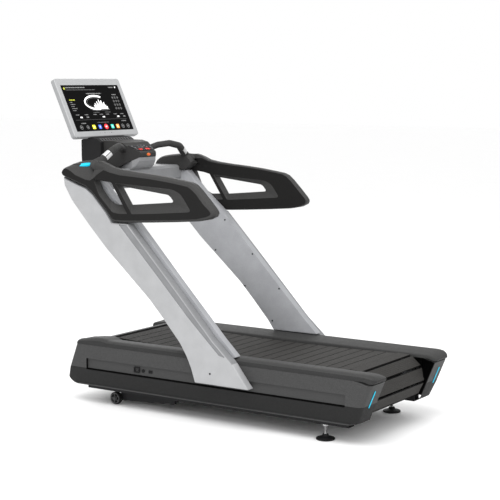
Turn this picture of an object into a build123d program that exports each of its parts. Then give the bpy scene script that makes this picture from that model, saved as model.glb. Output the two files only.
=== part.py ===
from build123d import *
import os
from math import sin, cos, tan, atan2, pi, sqrt, degrees, radians, hypot

os.makedirs("parts", exist_ok=True)

# ---------------------------------------------------------------- driving sizes (mm)
# +X towards the step-on end, +Y to the runner's right, +Z up.
# The machine stands on Z = 0, and X = 0, Y = 0 is the middle of its bounding box.
DX = -15.21                # profile stations are measured from the drive datum, 15 mm ahead of the origin

# slat belt
N_SLATS = 52
REAR_C = (866.0 + DX, 219.0)     # rear pulley axis
FRONT_C = (-575.0 + DX, 227.0)   # front pulley axis
R_BELT_IN = 99.0           # inner face of the carrier belts on the pulleys
BELT_T = 8.0
R_NEUTRAL = R_BELT_IN + BELT_T / 2
SAG = 14.0                 # dip of the running surface in the middle
SLAT_HALF = 245.0          # half length of a slat
SLAT_W = 63.5
SLAT_PLATE = 4.0
WEB_T, WEB_D, WEB_HALF = 5.0, 20.0, 203.0
TREAD_T, TREAD_W = 4.0, 64.5
BELT_Y0, BELT_Y1 = 214.0, 241.0
PULLEY_R = R_BELT_IN - 0.4
SHAFT_R = 15.0
RUN_FIT = 0.05             # radial clearance of a running fit

# idler rollers under the top run
IDLER_X = [-340.0 + DX, -100.0 + DX, 145.0 + DX, 390.0 + DX, 630.0 + DX]
IDLER_R, IDLER_SHAFT_R = 30.0, 8.0

# frame
RAIL_Y0, RAIL_Y1 = 311.0, 361.0
RAIL_Z0, RAIL_Z1 = 78.0, 182.0
RAIL_X0, RAIL_X1 = -700.0 + DX, 900.0 + DX
RAIL_WALL = 3.0
CROSS_X = [-262.0 + DX, 290.0 + DX, 560.0 + DX, 715.0 + DX]
BLOCK_Y0, BLOCK_Y1 = 318.0, 354.0

# drive
MOTOR_C = (-380.0 + DX, 210.0)
MOTOR_R = 57.0
MOTOR_PULLEY_R, DRIVEN_R = 30.0, 70.0
DRIVE_Y0, DRIVE_Y1 = 256.0, 280.0

# lift
LIFT_P = (-178.0 + DX, 62.0)
LEVER_R = 90.0
LEVER_A = radians(15.0)
LEVER_Y = 280.0
WHEEL_C = (-540.0 + DX, 33.0)
WHEEL_R = 33.0
ARM_Y0, ARM_Y1 = 295.0, 305.0
PIN_R = 8.0

# feet
FOOT_X, FOOT_Y = 758.0 + DX, 336.0
FOOT_R, STEM_R = 46.0, 8.0

# covers
COVER_IN, COVER_OUT = 262.0, 405.0
SEAM_Z = 319.0
COVER_WALL = 3.5

# uprights and rails
UP_IN, UP_SPLIT, UP_OUT = 361.0, 405.0, 450.0
HR_IN, HR_OUT = 403.0, 457.0

# screen
SCR_TOP = (-990.3 + DX, 1716.0)
SCR_BOT = (-841.0 + DX, 1403.0)
SCR_HALF = 273.0


def st(*pts):
    """profile stations (x from the drive datum, z) in the machine's frame"""
    return [(x + DX, z) for x, z in pts]


# ---------------------------------------------------------------- belt path
P1, P2 = FRONT_C, REAR_C
HALF = hypot(P2[0] - P1[0], P2[1] - P1[1]) / 2
UX, UZ = (P2[0] - P1[0]) / (2 * HALF), (P2[1] - P1[1]) / (2 * HALF)
NX, NZ = -UZ, UX
MID = ((P1[0] + P2[0]) / 2, (P1[1] + P2[1]) / 2)
RSUM = HALF * HALF / (2 * SAG)
R_SAG = RSUM - R_NEUTRAL
H_SAG = sqrt(RSUM * RSUM - HALF * HALF)
S_C = (MID[0] + NX * H_SAG, MID[1] + NZ * H_SAG)
A2 = atan2(S_C[1] - P2[1], S_C[0] - P2[0])
A1 = atan2(S_C[1] - P1[1], S_C[0] - P1[0])
AB = atan2(-NZ, -NX)
SWEEP2 = A2 - AB
SWEEP1 = (AB + 2 * pi) - A1
PHI = 2 * atan2(HALF, H_SAG)
LOOP = R_NEUTRAL * (SWEEP1 + SWEEP2) + 2 * HALF + R_SAG * PHI
PITCH = LOOP / N_SLATS


def loop_at(s, off=0.0):
    """point at path length s on the belt's neutral line, moved outwards by off, and the outward angle"""
    s = s % LOOP
    l2 = R_NEUTRAL * SWEEP2
    if s < l2:
        a = A2 - s / R_NEUTRAL
        return P2[0] + (R_NEUTRAL + off) * cos(a), P2[1] + (R_NEUTRAL + off) * sin(a), a
    s -= l2
    if s < 2 * HALF:
        x = P2[0] - NX * (R_NEUTRAL + off) - UX * s
        z = P2[1] - NZ * (R_NEUTRAL + off) - UZ * s
        return x, z, AB
    s -= 2 * HALF
    l1 = R_NEUTRAL * SWEEP1
    if s < l1:
        a = AB - s / R_NEUTRAL
        return P1[0] + (R_NEUTRAL + off) * cos(a), P1[1] + (R_NEUTRAL + off) * sin(a), a
    s -= l1
    b0 = atan2(P1[1] - S_C[1], P1[0] - S_C[0])
    b = b0 + s / R_SAG
    return S_C[0] + (R_SAG - off) * cos(b), S_C[1] + (R_SAG - off) * sin(b), b + pi


def top_run(x, off):
    """height of the top run at station x, off outwards of the neutral line"""
    r = R_SAG - off
    return S_C[1] - sqrt(r * r - (x - S_C[0]) ** 2)


PHASE = R_NEUTRAL * (A2 - radians(87.0))
SLATS = [loop_at(PHASE + i * PITCH) for i in range(N_SLATS)]
print("belt loop %.1f mm, slat pitch %.2f mm, top of deck %.1f / %.1f / %.1f"
      % (LOOP, PITCH, P1[1] + 115, top_run(MID[0], 12), P2[1] + 115))

# ---------------------------------------------------------------- frame
with BuildPart() as side_rails:
    with BuildSketch(Plane.YZ.offset(RAIL_X0)):
        with Locations(((RAIL_Y0 + RAIL_Y1) / 2, (RAIL_Z0 + RAIL_Z1) / 2)):
            Rectangle(RAIL_Y1 - RAIL_Y0, RAIL_Z1 - RAIL_Z0)
            Rectangle(RAIL_Y1 - RAIL_Y0 - 2 * RAIL_WALL, RAIL_Z1 - RAIL_Z0 - 2 * RAIL_WALL, mode=Mode.SUBTRACT)
    extrude(amount=RAIL_X1 - RAIL_X0)
    # pivot ear for the lift frame
    with BuildSketch(Plane.XZ.offset(-RAIL_Y0 - 8)):
        with BuildLine():
            Polyline((LIFT_P[0] - 30, RAIL_Z0), (LIFT_P[0] - 22, LIFT_P[1]), (LIFT_P[0] + 22, LIFT_P[1]),
                     (LIFT_P[0] + 30, RAIL_Z0), close=True)
        make_face()
        with Locations(LIFT_P):
            Circle(22)
    extrude(amount=8)
    with Locations(Plane((LIFT_P[0], RAIL_Y0 + 4, LIFT_P[1]), z_dir=(0, 1, 0))):
        Cylinder(PIN_R, 12, mode=Mode.SUBTRACT)
    # threaded seat for the levelling foot
    with Locations((FOOT_X, FOOT_Y, RAIL_Z0 + 7)):
        Cylinder(16, 14)
    with Locations((FOOT_X, FOOT_Y, RAIL_Z0 + 7)):
        Cylinder(STEM_R + RUN_FIT, 20, mode=Mode.SUBTRACT)
    mirror(about=Plane.XZ)
side_rails.part.label = "side_rails"

with BuildPart() as cross_tubes:
    for cx in CROSS_X:
        with BuildSketch(Plane.XZ):
            with Locations((cx, 180.0)):
                Rectangle(40, 40)
                Rectangle(35, 35, mode=Mode.SUBTRACT)
        extrude(amount=RAIL_Y0, both=True)
    # motor cradle welded to the first tube
    with BuildSketch(Plane.XZ):
        with BuildLine():
            Polyline((CROSS_X[0] - 19, 198), (CROSS_X[0] - 19, 162), (MOTOR_C[0] + 10, 146), (MOTOR_C[0] - 50, 146),
                     (MOTOR_C[0] - 50, 153), (MOTOR_C[0] + 8, 153), (CROSS_X[0] - 26, 168), (CROSS_X[0] - 26, 198),
                     close=True)
        make_face()
    extrude(amount=60, both=True)
cross_tubes.part.label = "cross_tubes"

with BuildPart() as idler_brackets:
    for ix in IDLER_X:
        iz = top_run(ix, -4.0) - 0.5 - IDLER_R
        with BuildSketch(Plane.XZ.offset(-RAIL_Y0)):
            with BuildLine():
                Polyline((ix - 28, 120), (ix + 28, 120), (ix + 28, 200), (ix + 16, iz), (ix - 16, iz), (ix - 28, 200),
                         close=True)
            make_face()
            with Locations((ix, iz)):
                Circle(16)
                Circle(IDLER_SHAFT_R + RUN_FIT, mode=Mode.SUBTRACT)
        extrude(amount=8)
    mirror(about=Plane.XZ)
idler_brackets.part.label = "idler_brackets"

with BuildPart() as pillow_blocks:
    for (cx, cz) in (FRONT_C, REAR_C):
        with BuildSketch(Plane.XZ.offset(-BLOCK_Y1)):
            with BuildLine():
                Polyline((cx - 66, RAIL_Z1), (cx + 66, RAIL_Z1), (cx + 66, RAIL_Z1 + 13), (cx + 33, RAIL_Z1 + 17),
                         (cx + 30, cz), (cx - 30, cz), (cx - 33, RAIL_Z1 + 17), (cx - 66, RAIL_Z1 + 13), close=True)
            make_face()
            with Locations((cx, cz)):
                Circle(33)
                Circle(SHAFT_R + RUN_FIT, mode=Mode.SUBTRACT)
        extrude(amount=BLOCK_Y1 - BLOCK_Y0)
    mirror(about=Plane.XZ)
pillow_blocks.part.label = "pillow_blocks"

# ---------------------------------------------------------------- pulleys, shafts, idlers
with BuildPart() as front_shaft:
    with Locations(Plane((FRONT_C[0], 0, FRONT_C[1]), z_dir=(0, 1, 0))):
        Cylinder(SHAFT_R, 2 * 356)
    chamfer(front_shaft.edges().filter_by(GeomType.CIRCLE), length=1.5)
front_shaft.part.label = "front_shaft"

with BuildPart() as rear_shaft:
    with Locations(Plane((REAR_C[0], 0, REAR_C[1]), z_dir=(0, 1, 0))):
        Cylinder(SHAFT_R, 2 * 356)
    chamfer(rear_shaft.edges().filter_by(GeomType.CIRCLE), length=1.5)
rear_shaft.part.label = "rear_shaft"

with BuildPart() as front_pulleys:
    with BuildSketch(Plane((FRONT_C[0], BELT_Y0 + 1, FRONT_C[1]), x_dir=(1, 0, 0), z_dir=(0, 1, 0))):
        Circle(PULLEY_R)
        Circle(PULLEY_R - 12, mode=Mode.SUBTRACT)
    extrude(amount=BELT_Y1 - BELT_Y0 - 2)
    with BuildSketch(Plane((FRONT_C[0], BELT_Y0 + 9, FRONT_C[1]), x_dir=(1, 0, 0), z_dir=(0, 1, 0))):
        Circle(PULLEY_R - 10)
        with PolarLocations(58, 6):
            Circle(18, mode=Mode.SUBTRACT)
    extrude(amount=8)
    with BuildSketch(Plane((FRONT_C[0], BELT_Y0 - 4, FRONT_C[1]), x_dir=(1, 0, 0), z_dir=(0, 1, 0))):
        Circle(30)
    extrude(amount=BELT_Y1 - BELT_Y0)
    with Locations(Plane((FRONT_C[0], BELT_Y0 + 10, FRONT_C[1]), z_dir=(0, 1, 0))):
        Cylinder(SHAFT_R, 60, mode=Mode.SUBTRACT)
    mirror(about=Plane.XZ)
front_pulleys.part.label = "front_pulleys"

with BuildPart() as rear_pulleys:
    with BuildSketch(Plane((REAR_C[0], BELT_Y0 + 1, REAR_C[1]), x_dir=(1, 0, 0), z_dir=(0, 1, 0))):
        Circle(PULLEY_R)
        Circle(PULLEY_R - 12, mode=Mode.SUBTRACT)
    extrude(amount=BELT_Y1 - BELT_Y0 - 2)
    with BuildSketch(Plane((REAR_C[0], BELT_Y0 + 9, REAR_C[1]), x_dir=(1, 0, 0), z_dir=(0, 1, 0))):
        Circle(PULLEY_R - 10)
        with PolarLocations(58, 6):
            Circle(18, mode=Mode.SUBTRACT)
    extrude(amount=8)
    with BuildSketch(Plane((REAR_C[0], BELT_Y0 - 4, REAR_C[1]), x_dir=(1, 0, 0), z_dir=(0, 1, 0))):
        Circle(30)
    extrude(amount=BELT_Y1 - BELT_Y0)
    with Locations(Plane((REAR_C[0], BELT_Y0 + 10, REAR_C[1]), z_dir=(0, 1, 0))):
        Cylinder(SHAFT_R, 60, mode=Mode.SUBTRACT)
    mirror(about=Plane.XZ)
rear_pulleys.part.label = "rear_pulleys"


def idler_profile(ix):
    iz = top_run(ix, -4.0) - 0.5 - IDLER_R
    return ix, iz


idlers = []
for k, ix in enumerate(IDLER_X):
    iz = top_run(ix, -4.0) - 0.5 - IDLER_R
    with BuildPart() as idler:
        with BuildSketch(Plane((ix, 0, iz), x_dir=(1, 0, 0), z_dir=(0, 1, 0))):
            Circle(IDLER_SHAFT_R)
        extrude(amount=309, both=True)
        with BuildSketch(Plane((ix, BELT_Y0 + 1, iz), x_dir=(1, 0, 0), z_dir=(0, 1, 0))):
            Circle(IDLER_R)
        extrude(amount=BELT_Y1 - BELT_Y0 - 2)
        with BuildSketch(Plane((ix, -BELT_Y1 + 1, iz), x_dir=(1, 0, 0), z_dir=(0, 1, 0))):
            Circle(IDLER_R)
        extrude(amount=BELT_Y1 - BELT_Y0 - 2)
    idler.part.label = "idler_%d" % (k + 1)
    idlers.append(idler)

# ---------------------------------------------------------------- slat belt
def ring(off):
    """closed outline of the belt loop, off outwards of its neutral line"""
    b0 = atan2(P1[1] - S_C[1], P1[0] - S_C[0])
    r = R_NEUTRAL + off
    t2 = (P2[0] + r * cos(A2), P2[1] + r * sin(A2))
    e2 = (P2[0] + r, P2[1])
    m2 = (P2[0] + r * cos((A2 + AB) / 2), P2[1] + r * sin((A2 + AB) / 2))
    b2 = (P2[0] - NX * r, P2[1] - NZ * r)
    b1 = (P1[0] - NX * r, P1[1] - NZ * r)
    am = (A1 + AB + 2 * pi) / 2
    m1 = (P1[0] + r * cos(am), P1[1] + r * sin(am))
    t1 = (P1[0] + r * cos(A1), P1[1] + r * sin(A1))
    mt = (S_C[0] - NX * (R_SAG - off), S_C[1] - NZ * (R_SAG - off))
    return t2, m2, b2, b1, m1, t1, mt


with BuildPart() as carrier_belts:
    with BuildSketch(Plane.XZ.offset(-BELT_Y1)):
        with BuildLine():
            q = ring(BELT_T / 2)
            ThreePointArc(q[0], q[1], q[2])
            Line(q[2], q[3])
            ThreePointArc(q[3], q[4], q[5])
            ThreePointArc(q[5], q[6], q[0])
        make_face()
        with BuildLine():
            q = ring(-BELT_T / 2)
            ThreePointArc(q[0], q[1], q[2])
            Line(q[2], q[3])
            ThreePointArc(q[3], q[4], q[5])
            ThreePointArc(q[5], q[6], q[0])
        make_face(mode=Mode.SUBTRACT)
    extrude(amount=BELT_Y1 - BELT_Y0)
    mirror(about=Plane.XZ)
carrier_belts.part.label = "carrier_belts"

o_plate = BELT_T / 2 + SLAT_PLATE / 2 + 0.06
with BuildPart() as slat_beams:
    with BuildSketch(Plane.XZ):
        for (x, z, a) in SLATS:
            with Locations(Location((x + o_plate * cos(a), z + o_plate * sin(a)), degrees(a) - 90)):
                Rectangle(SLAT_W, SLAT_PLATE)
    extrude(amount=SLAT_HALF, both=True)
    with BuildSketch(Plane.XZ):
        for (x, z, a) in SLATS:
            o = BELT_T / 2 - WEB_D / 2 + 0.5
            with Locations(Location((x + o * cos(a), z + o * sin(a)), degrees(a) - 90)):
                Rectangle(WEB_T, WEB_D + 1.0)
    extrude(amount=WEB_HALF, both=True)
slat_beams.part.label = "slat_beams"

o_tread = BELT_T / 2 + SLAT_PLATE + TREAD_T / 2 + 0.06
with BuildPart() as slat_treads:
    with BuildSketch(Plane.XZ):
        for (x, z, a) in SLATS:
            with Locations(Location((x + o_tread * cos(a), z + o_tread * sin(a)), degrees(a) - 90)):
                Rectangle(TREAD_W, TREAD_T)
    extrude(amount=SLAT_HALF + 2, both=True)
slat_treads.part.label = "slat_treads"

# ---------------------------------------------------------------- drive
with BuildPart() as drive_motor:
    with BuildSketch(Plane((MOTOR_C[0], -70, MOTOR_C[1]), x_dir=(1, 0, 0), z_dir=(0, 1, 0))):
        Circle(MOTOR_R)
        with PolarLocations(MOTOR_R, 16):
            Rectangle(6, 5, mode=Mode.SUBTRACT)
    extrude(amount=200)
    with BuildSketch(Plane((MOTOR_C[0], 130, MOTOR_C[1]), x_dir=(1, 0, 0), z_dir=(0, 1, 0))):
        Circle(MOTOR_R - 6)
    extrude(amount=14)
    with BuildSketch(Plane((MOTOR_C[0], -84, MOTOR_C[1]), x_dir=(1, 0, 0), z_dir=(0, 1, 0))):
        Circle(MOTOR_R - 6)
    extrude(amount=14)
    with Locations(Plane((MOTOR_C[0], 30, MOTOR_C[1]), z_dir=(0, 1, 0))):
        Cylinder(9 + RUN_FIT, 400, mode=Mode.SUBTRACT)
drive_motor.part.label = "drive_motor"

with BuildPart() as motor_rotor:
    with Locations(Plane((MOTOR_C[0], 95, MOTOR_C[1]), z_dir=(0, 1, 0))):
        Cylinder(9, 374)
motor_rotor.part.label = "motor_rotor_shaft"

with BuildPart() as motor_pulley:
    with BuildSketch(Plane((MOTOR_C[0], DRIVE_Y0, MOTOR_C[1]), x_dir=(1, 0, 0), z_dir=(0, 1, 0))):
        Circle(MOTOR_PULLEY_R)
        Circle(9, mode=Mode.SUBTRACT)
    extrude(amount=DRIVE_Y1 - DRIVE_Y0)
motor_pulley.part.label = "motor_pulley"

with BuildPart() as driven_pulley:
    with BuildSketch(Plane((FRONT_C[0], DRIVE_Y0, FRONT_C[1]), x_dir=(1, 0, 0), z_dir=(0, 1, 0))):
        Circle(DRIVEN_R)
        Circle(SHAFT_R, mode=Mode.SUBTRACT)
        with PolarLocations(42, 5):
            Circle(14, mode=Mode.SUBTRACT)
    extrude(amount=DRIVE_Y1 - DRIVE_Y0)
driven_pulley.part.label = "driven_pulley"

D_MOT = hypot(MOTOR_C[0] - FRONT_C[0], MOTOR_C[1] - FRONT_C[1])
A_MOT = atan2(MOTOR_C[1] - FRONT_C[1], MOTOR_C[0] - FRONT_C[0])


def open_belt(r1, r2):
    """tangent points of an open belt around the driven pulley (r1) and the motor pulley (r2)"""
    b = atan2(r1 - r2, D_MOT)
    up, dn = A_MOT + pi / 2 - b, A_MOT - pi / 2 + b
    f, m = FRONT_C, MOTOR_C
    return ((f[0] + r1 * cos(up), f[1] + r1 * sin(up)), (m[0] + r2 * cos(up), m[1] + r2 * sin(up)),
            (m[0] + r2 * cos(A_MOT), m[1] + r2 * sin(A_MOT)),
            (m[0] + r2 * cos(dn), m[1] + r2 * sin(dn)), (f[0] + r1 * cos(dn), f[1] + r1 * sin(dn)),
            (f[0] - r1 * cos(A_MOT), f[1] - r1 * sin(A_MOT)))


with BuildPart() as drive_belt:
    with BuildSketch(Plane.XZ.offset(-DRIVE_Y1 + 2)):
        with BuildLine():
            q = open_belt(DRIVEN_R + 4.4, MOTOR_PULLEY_R + 4.4)
            Line(q[0], q[1])
            ThreePointArc(q[1], q[2], q[3])
            Line(q[3], q[4])
            ThreePointArc(q[4], q[5], q[0])
        make_face()
        with BuildLine():
            q = open_belt(DRIVEN_R + 0.4, MOTOR_PULLEY_R + 0.4)
            Line(q[0], q[1])
            ThreePointArc(q[1], q[2], q[3])
            Line(q[3], q[4])
            ThreePointArc(q[4], q[5], q[0])
        make_face(mode=Mode.SUBTRACT)
    extrude(amount=DRIVE_Y1 - DRIVE_Y0 - 4)
drive_belt.part.label = "drive_belt"

with BuildPart() as motor_controller:
    # mounting plate across two cross tubes
    with Locations((425 + DX, 0, 201.5)):
        Box(306, 130, 3)
    with Locations((425 + DX, 0, 222)):
        Box(200, 150, 38)
    fillet(motor_controller.edges().filter_by(Axis.Z), radius=6)
    with BuildSketch(Plane.XY.offset(241)):
        with Locations((425 + DX, 0)):
            with GridLocations(0, 15, 1, 8):
                Rectangle(170, 4)
    extrude(amount=14)
motor_controller.part.label = "motor_controller"

# ---------------------------------------------------------------- lift frame, wheels, feet
LEV = (LIFT_P[0] + LEVER_R * sin(LEVER_A), LIFT_P[1] + LEVER_R * cos(LEVER_A))
ROD_Z = LIFT_P[1] + LEVER_R * (1 + cos(LEVER_A)) / 2
PIN_X = LIFT_P[0] + (ROD_Z - LIFT_P[1]) * tan(LEVER_A)
with BuildPart() as lift_frame:
    # side arms
    with BuildSketch(Plane.XZ.offset(-ARM_Y1)):
        with BuildLine():
            Polyline((WHEEL_C[0], WHEEL_C[1] - 14), (LIFT_P[0], LIFT_P[1] - 20), (LIFT_P[0], LIFT_P[1] + 14),
                     (WHEEL_C[0] + 30, WHEEL_C[1] + 34), (WHEEL_C[0] - 4, WHEEL_C[1] + 14), close=True)
        make_face()
        with Locations(WHEEL_C):
            Circle(14)
        with Locations(LIFT_P):
            Circle(20)
            Circle(PIN_R + RUN_FIT, mode=Mode.SUBTRACT)
        with Locations(WHEEL_C):
            Circle(6, mode=Mode.SUBTRACT)
    extrude(amount=ARM_Y1 - ARM_Y0)
    mirror(about=Plane.XZ)
    # cross tube joining the arms
    with BuildSketch(Plane.XZ):
        with Locations((WHEEL_C[0] + 75, 48)):
            Rectangle(34, 28)
    extrude(amount=ARM_Y0 + 2, both=True)
    # torque tube at the pivot
    with BuildSketch(Plane.XZ):
        with Locations((LIFT_P[0] - 42, 60)):
            Rectangle(30, 30)
    extrude(amount=ARM_Y0 + 2, both=True)
    # lever with its slot, on the left side
    with BuildSketch(Plane.XZ.offset(LEVER_Y - 4)):
        with BuildLine():
            Polyline((LIFT_P[0] - 55, 70), (LIFT_P[0] - 55, 48), (LIFT_P[0] + 14, 50), (LEV[0] + 15, LEV[1]),
                     (LEV[0] - 15, LEV[1]), close=True)
        make_face()
        with Locations(Location((LEV[0], LEV[1]), degrees(pi / 2 - LEVER_A))):
            SlotCenterToCenter(12, 30)
            SlotCenterToCenter(8, 11.4, mode=Mode.SUBTRACT)
    extrude(amount=8)
lift_frame.part.label = "lift_frame"

with BuildPart() as lift_pins:
    with BuildSketch(Plane.XZ.offset(-(RAIL_Y0 + 8))):
        with Locations(LIFT_P):
            Circle(PIN_R)
    extrude(amount=8 + RAIL_Y0 - ARM_Y0 + 3)
    with BuildSketch(Plane.XZ.offset(-(ARM_Y0 - 0.5))):
        with Locations(LIFT_P):
            Circle(PIN_R + 4)
            Circle(PIN_R - 2, mode=Mode.SUBTRACT)
    extrude(amount=2.5)
    mirror(about=Plane.XZ)
lift_pins.part.label = "lift_pins"

with BuildPart() as lift_actuator_body:
    with Locations(Plane((70 + DX, -LEVER_Y, ROD_Z), z_dir=(1, 0, 0))):
        Cylinder(21, 230)
        Cylinder(9 + RUN_FIT, 300, mode=Mode.SUBTRACT)
    with Locations((215 + DX, -LEVER_Y, ROD_Z - 2)):
        Box(60, 42, 56)
    with Locations((90 + DX, -303, ROD_Z)):
        Box(50, 16, 60)
lift_actuator_body.part.label = "lift_actuator_body"

with BuildPart() as lift_actuator_rod:
    with Locations(Plane(((PIN_X + 28 + 150 + DX) / 2, -LEVER_Y, ROD_Z), z_dir=(1, 0, 0))):
        Cylinder(9, 150 + DX - PIN_X - 28)
    with Locations((PIN_X + 8, -LEVER_Y, ROD_Z)):
        Box(48, 26, 24)
    with Locations((PIN_X - 5, -LEVER_Y, ROD_Z)):
        Box(50, 10, 40, mode=Mode.SUBTRACT)
    with Locations(Plane((PIN_X, -LEVER_Y, ROD_Z), z_dir=(0, 1, 0))):
        Cylinder(5, 30)
lift_actuator_rod.part.label = "lift_actuator_rod"

with BuildPart() as wheel_axles:
    with BuildSketch(Plane.XZ.offset(-342)):
        with Locations(WHEEL_C):
            Circle(11)
    extrude(amount=5)
    with BuildSketch(Plane.XZ.offset(-337)):
        with Locations(WHEEL_C):
            Circle(6)
    extrude(amount=337 - ARM_Y0)
    with BuildSketch(Plane.XZ.offset(-ARM_Y0)):
        with Locations(WHEEL_C):
            RegularPolygon(10, 6)
    extrude(amount=6)
    mirror(about=Plane.XZ)
wheel_axles.part.label = "wheel_axles"

W_PLANE = Plane((WHEEL_C[0], 0, WHEEL_C[1]), x_dir=(0, 1, 0), z_dir=(1, 0, 0))
W_AXIS = Axis((WHEEL_C[0], 0, WHEEL_C[1]), (0, 1, 0))
with BuildPart() as front_wheel_left:
    with BuildSketch(W_PLANE):
        with BuildLine():
            Polyline((-311, 6 + RUN_FIT), (-311, 12), (-314, 13), (-314, 23), (-309, 26), (-309, 30), (-312, WHEEL_R),
                     (-332, WHEEL_R), (-335, 30), (-335, 26), (-330, 23), (-330, 13), (-333, 12), (-333, 6 + RUN_FIT),
                     close=True)
        make_face()
    revolve(axis=W_AXIS)
    with BuildSketch(Plane.XZ.offset(300)):
        with Locations(WHEEL_C):
            with PolarLocations(18, 5):
                Circle(3.6)
    extrude(amount=50, mode=Mode.SUBTRACT)
front_wheel_left.part.label = "front_wheel_left"

with BuildPart() as front_wheel_right:
    add(front_wheel_left.part)
    mirror(about=Plane.XZ, mode=Mode.REPLACE)
front_wheel_right.part.label = "front_wheel_right"

F_PLANE = Plane((FOOT_X, -FOOT_Y, 0), x_dir=(1, 0, 0), z_dir=(0, -1, 0))
with BuildPart() as rear_foot_left:
    with BuildSketch(F_PLANE):
        with BuildLine():
            Polyline((0, 0), (FOOT_R - 2, 0), (FOOT_R, 2), (FOOT_R, 7), (FOOT_R - 5, 11), (17, 18), (15, 26), (STEM_R, 28),
                     (STEM_R, 148), (STEM_R - 1.5, 150), (0, 150), close=True)
        make_face()
    revolve(axis=Axis((FOOT_X, -FOOT_Y, 0), (0, 0, 1)))
rear_foot_left.part.label = "rear_foot_left"

with BuildPart() as rear_foot_right:
    add(rear_foot_left.part)
    mirror(about=Plane.XZ, mode=Mode.REPLACE)
rear_foot_right.part.label = "rear_foot_right"

with BuildPart() as foot_lock_nuts:
    with BuildSketch(Plane.XY.offset(RAIL_Z0 - 10)):
        with Locations((FOOT_X, FOOT_Y)):
            RegularPolygon(14, 6)
            Circle(STEM_R + RUN_FIT, mode=Mode.SUBTRACT)
    extrude(amount=10)
    mirror(about=Plane.XZ)
foot_lock_nuts.part.label = "foot_lock_nuts"

# ---------------------------------------------------------------- side covers, caps, front cover
# outer outline of the side cover, seen from the side
COVER = st((-816, 132), (-795, 106), (-760, 98), (925, 98), (958, 108), (1038.5, 302), (1028, 305.5), (988, 315.5),
           (975, SEAM_Z), (-744, SEAM_Z))
INNER = st((-806, 137), (-790, 98), (-760, 60), (915, 60), (950, 118), (980, 192), (1020, 294), (1010, 330), (-738, 330))
with BuildPart() as cover_blank:
    with BuildSketch(Plane.XZ.offset(COVER_IN)):
        with BuildLine():
            Polyline(*COVER, close=True)
        make_face()
        fillet(vertices().group_by(Axis.Y)[0], radius=14)
    extrude(amount=COVER_OUT - COVER_IN)
    # rounded corner between the side and the rear face
    outer = cover_blank.faces().sort_by(Axis.Y)[0]
    rear_e = outer.edges().filter_by(lambda e: e.center().X > 970 + DX and e.center().Z < 300 and e.center().Z > 120)
    fillet(rear_e, radius=26)
    # lower edge of the outer wall tucks in
    with BuildSketch(Plane.YZ.offset(-900)):
        with BuildLine():
            Polyline((-406, 170), (-404.5, 150), (-401, 130), (-395, 112), (-386, 97), (-386, 80), (-430, 80), (-430, 170),
                     close=True)
        make_face()
    extrude(amount=2000, mode=Mode.SUBTRACT)
    # styling groove
    with BuildSketch(Plane.XZ.offset(COVER_OUT - 8)):
        with BuildLine():
            Polyline(*st((-672, 246), (-652, 191), (885, 191), (900, 246)), close=True)
        make_face()
        fillet(vertices(), radius=5)
    extrude(amount=20, mode=Mode.SUBTRACT)
    # hollow
    with BuildSketch(Plane.XZ.offset(COVER_IN + COVER_WALL)):
        with BuildLine():
            Polyline(*INNER, close=True)
        make_face()
    extrude(amount=382 - COVER_IN - COVER_WALL, mode=Mode.SUBTRACT)
    with BuildSketch(Plane.XZ.offset(381)):
        with BuildLine():
            Polyline(*st((-797, 160), (948, 160), (975, 200), (1010, 290), (1010, 330), (-738, 330)), close=True)
        make_face()
    extrude(amount=12, mode=Mode.SUBTRACT)
    with BuildSketch(Plane.XZ.offset(392)):
        with BuildLine():
            Polyline(*st((-748, 251), (990, 251), (1002, 290), (1002, 330), (-733, 330)), close=True)
        make_face()
    extrude(amount=401.5 - 392, mode=Mode.SUBTRACT)
    # open inner side beside the running surface
    with BuildSketch(Plane.XZ.offset(COVER_IN - 5)):
        with BuildLine():
            Polyline(*st((-735, 60), (760, 60), (760, 340), (-735, 340)), close=True)
        make_face()
    extrude(amount=20, mode=Mode.SUBTRACT)
    # rear shaft clearance in the inner wall
    with BuildSketch(Plane.XZ.offset(COVER_IN - 5)):
        with Locations(REAR_C):
            Circle(22)
    extrude(amount=20, mode=Mode.SUBTRACT)

with BuildPart() as side_cover_left:
    add(cover_blank.part)
    # seats of the mains inlet, the breaker button and the rocker switch
    with BuildSketch(Plane.XZ.offset(370)):
        with Locations((-340 + DX, 221)):
            RectangleRounded(34.4, 26.4, 3)
        with Locations((-300 + DX, 219)):
            Circle(9.1)
        with Locations((-252 + DX, 219)):
            RectangleRounded(24, 17, 1.5)
    extrude(amount=40, mode=Mode.SUBTRACT)
side_cover_left.part.label = "side_cover_left"

with BuildPart() as side_cover_right:
    add(cover_blank.part)
    mirror(about=Plane.XZ, mode=Mode.REPLACE)
side_cover_right.part.label = "side_cover_right"

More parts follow.
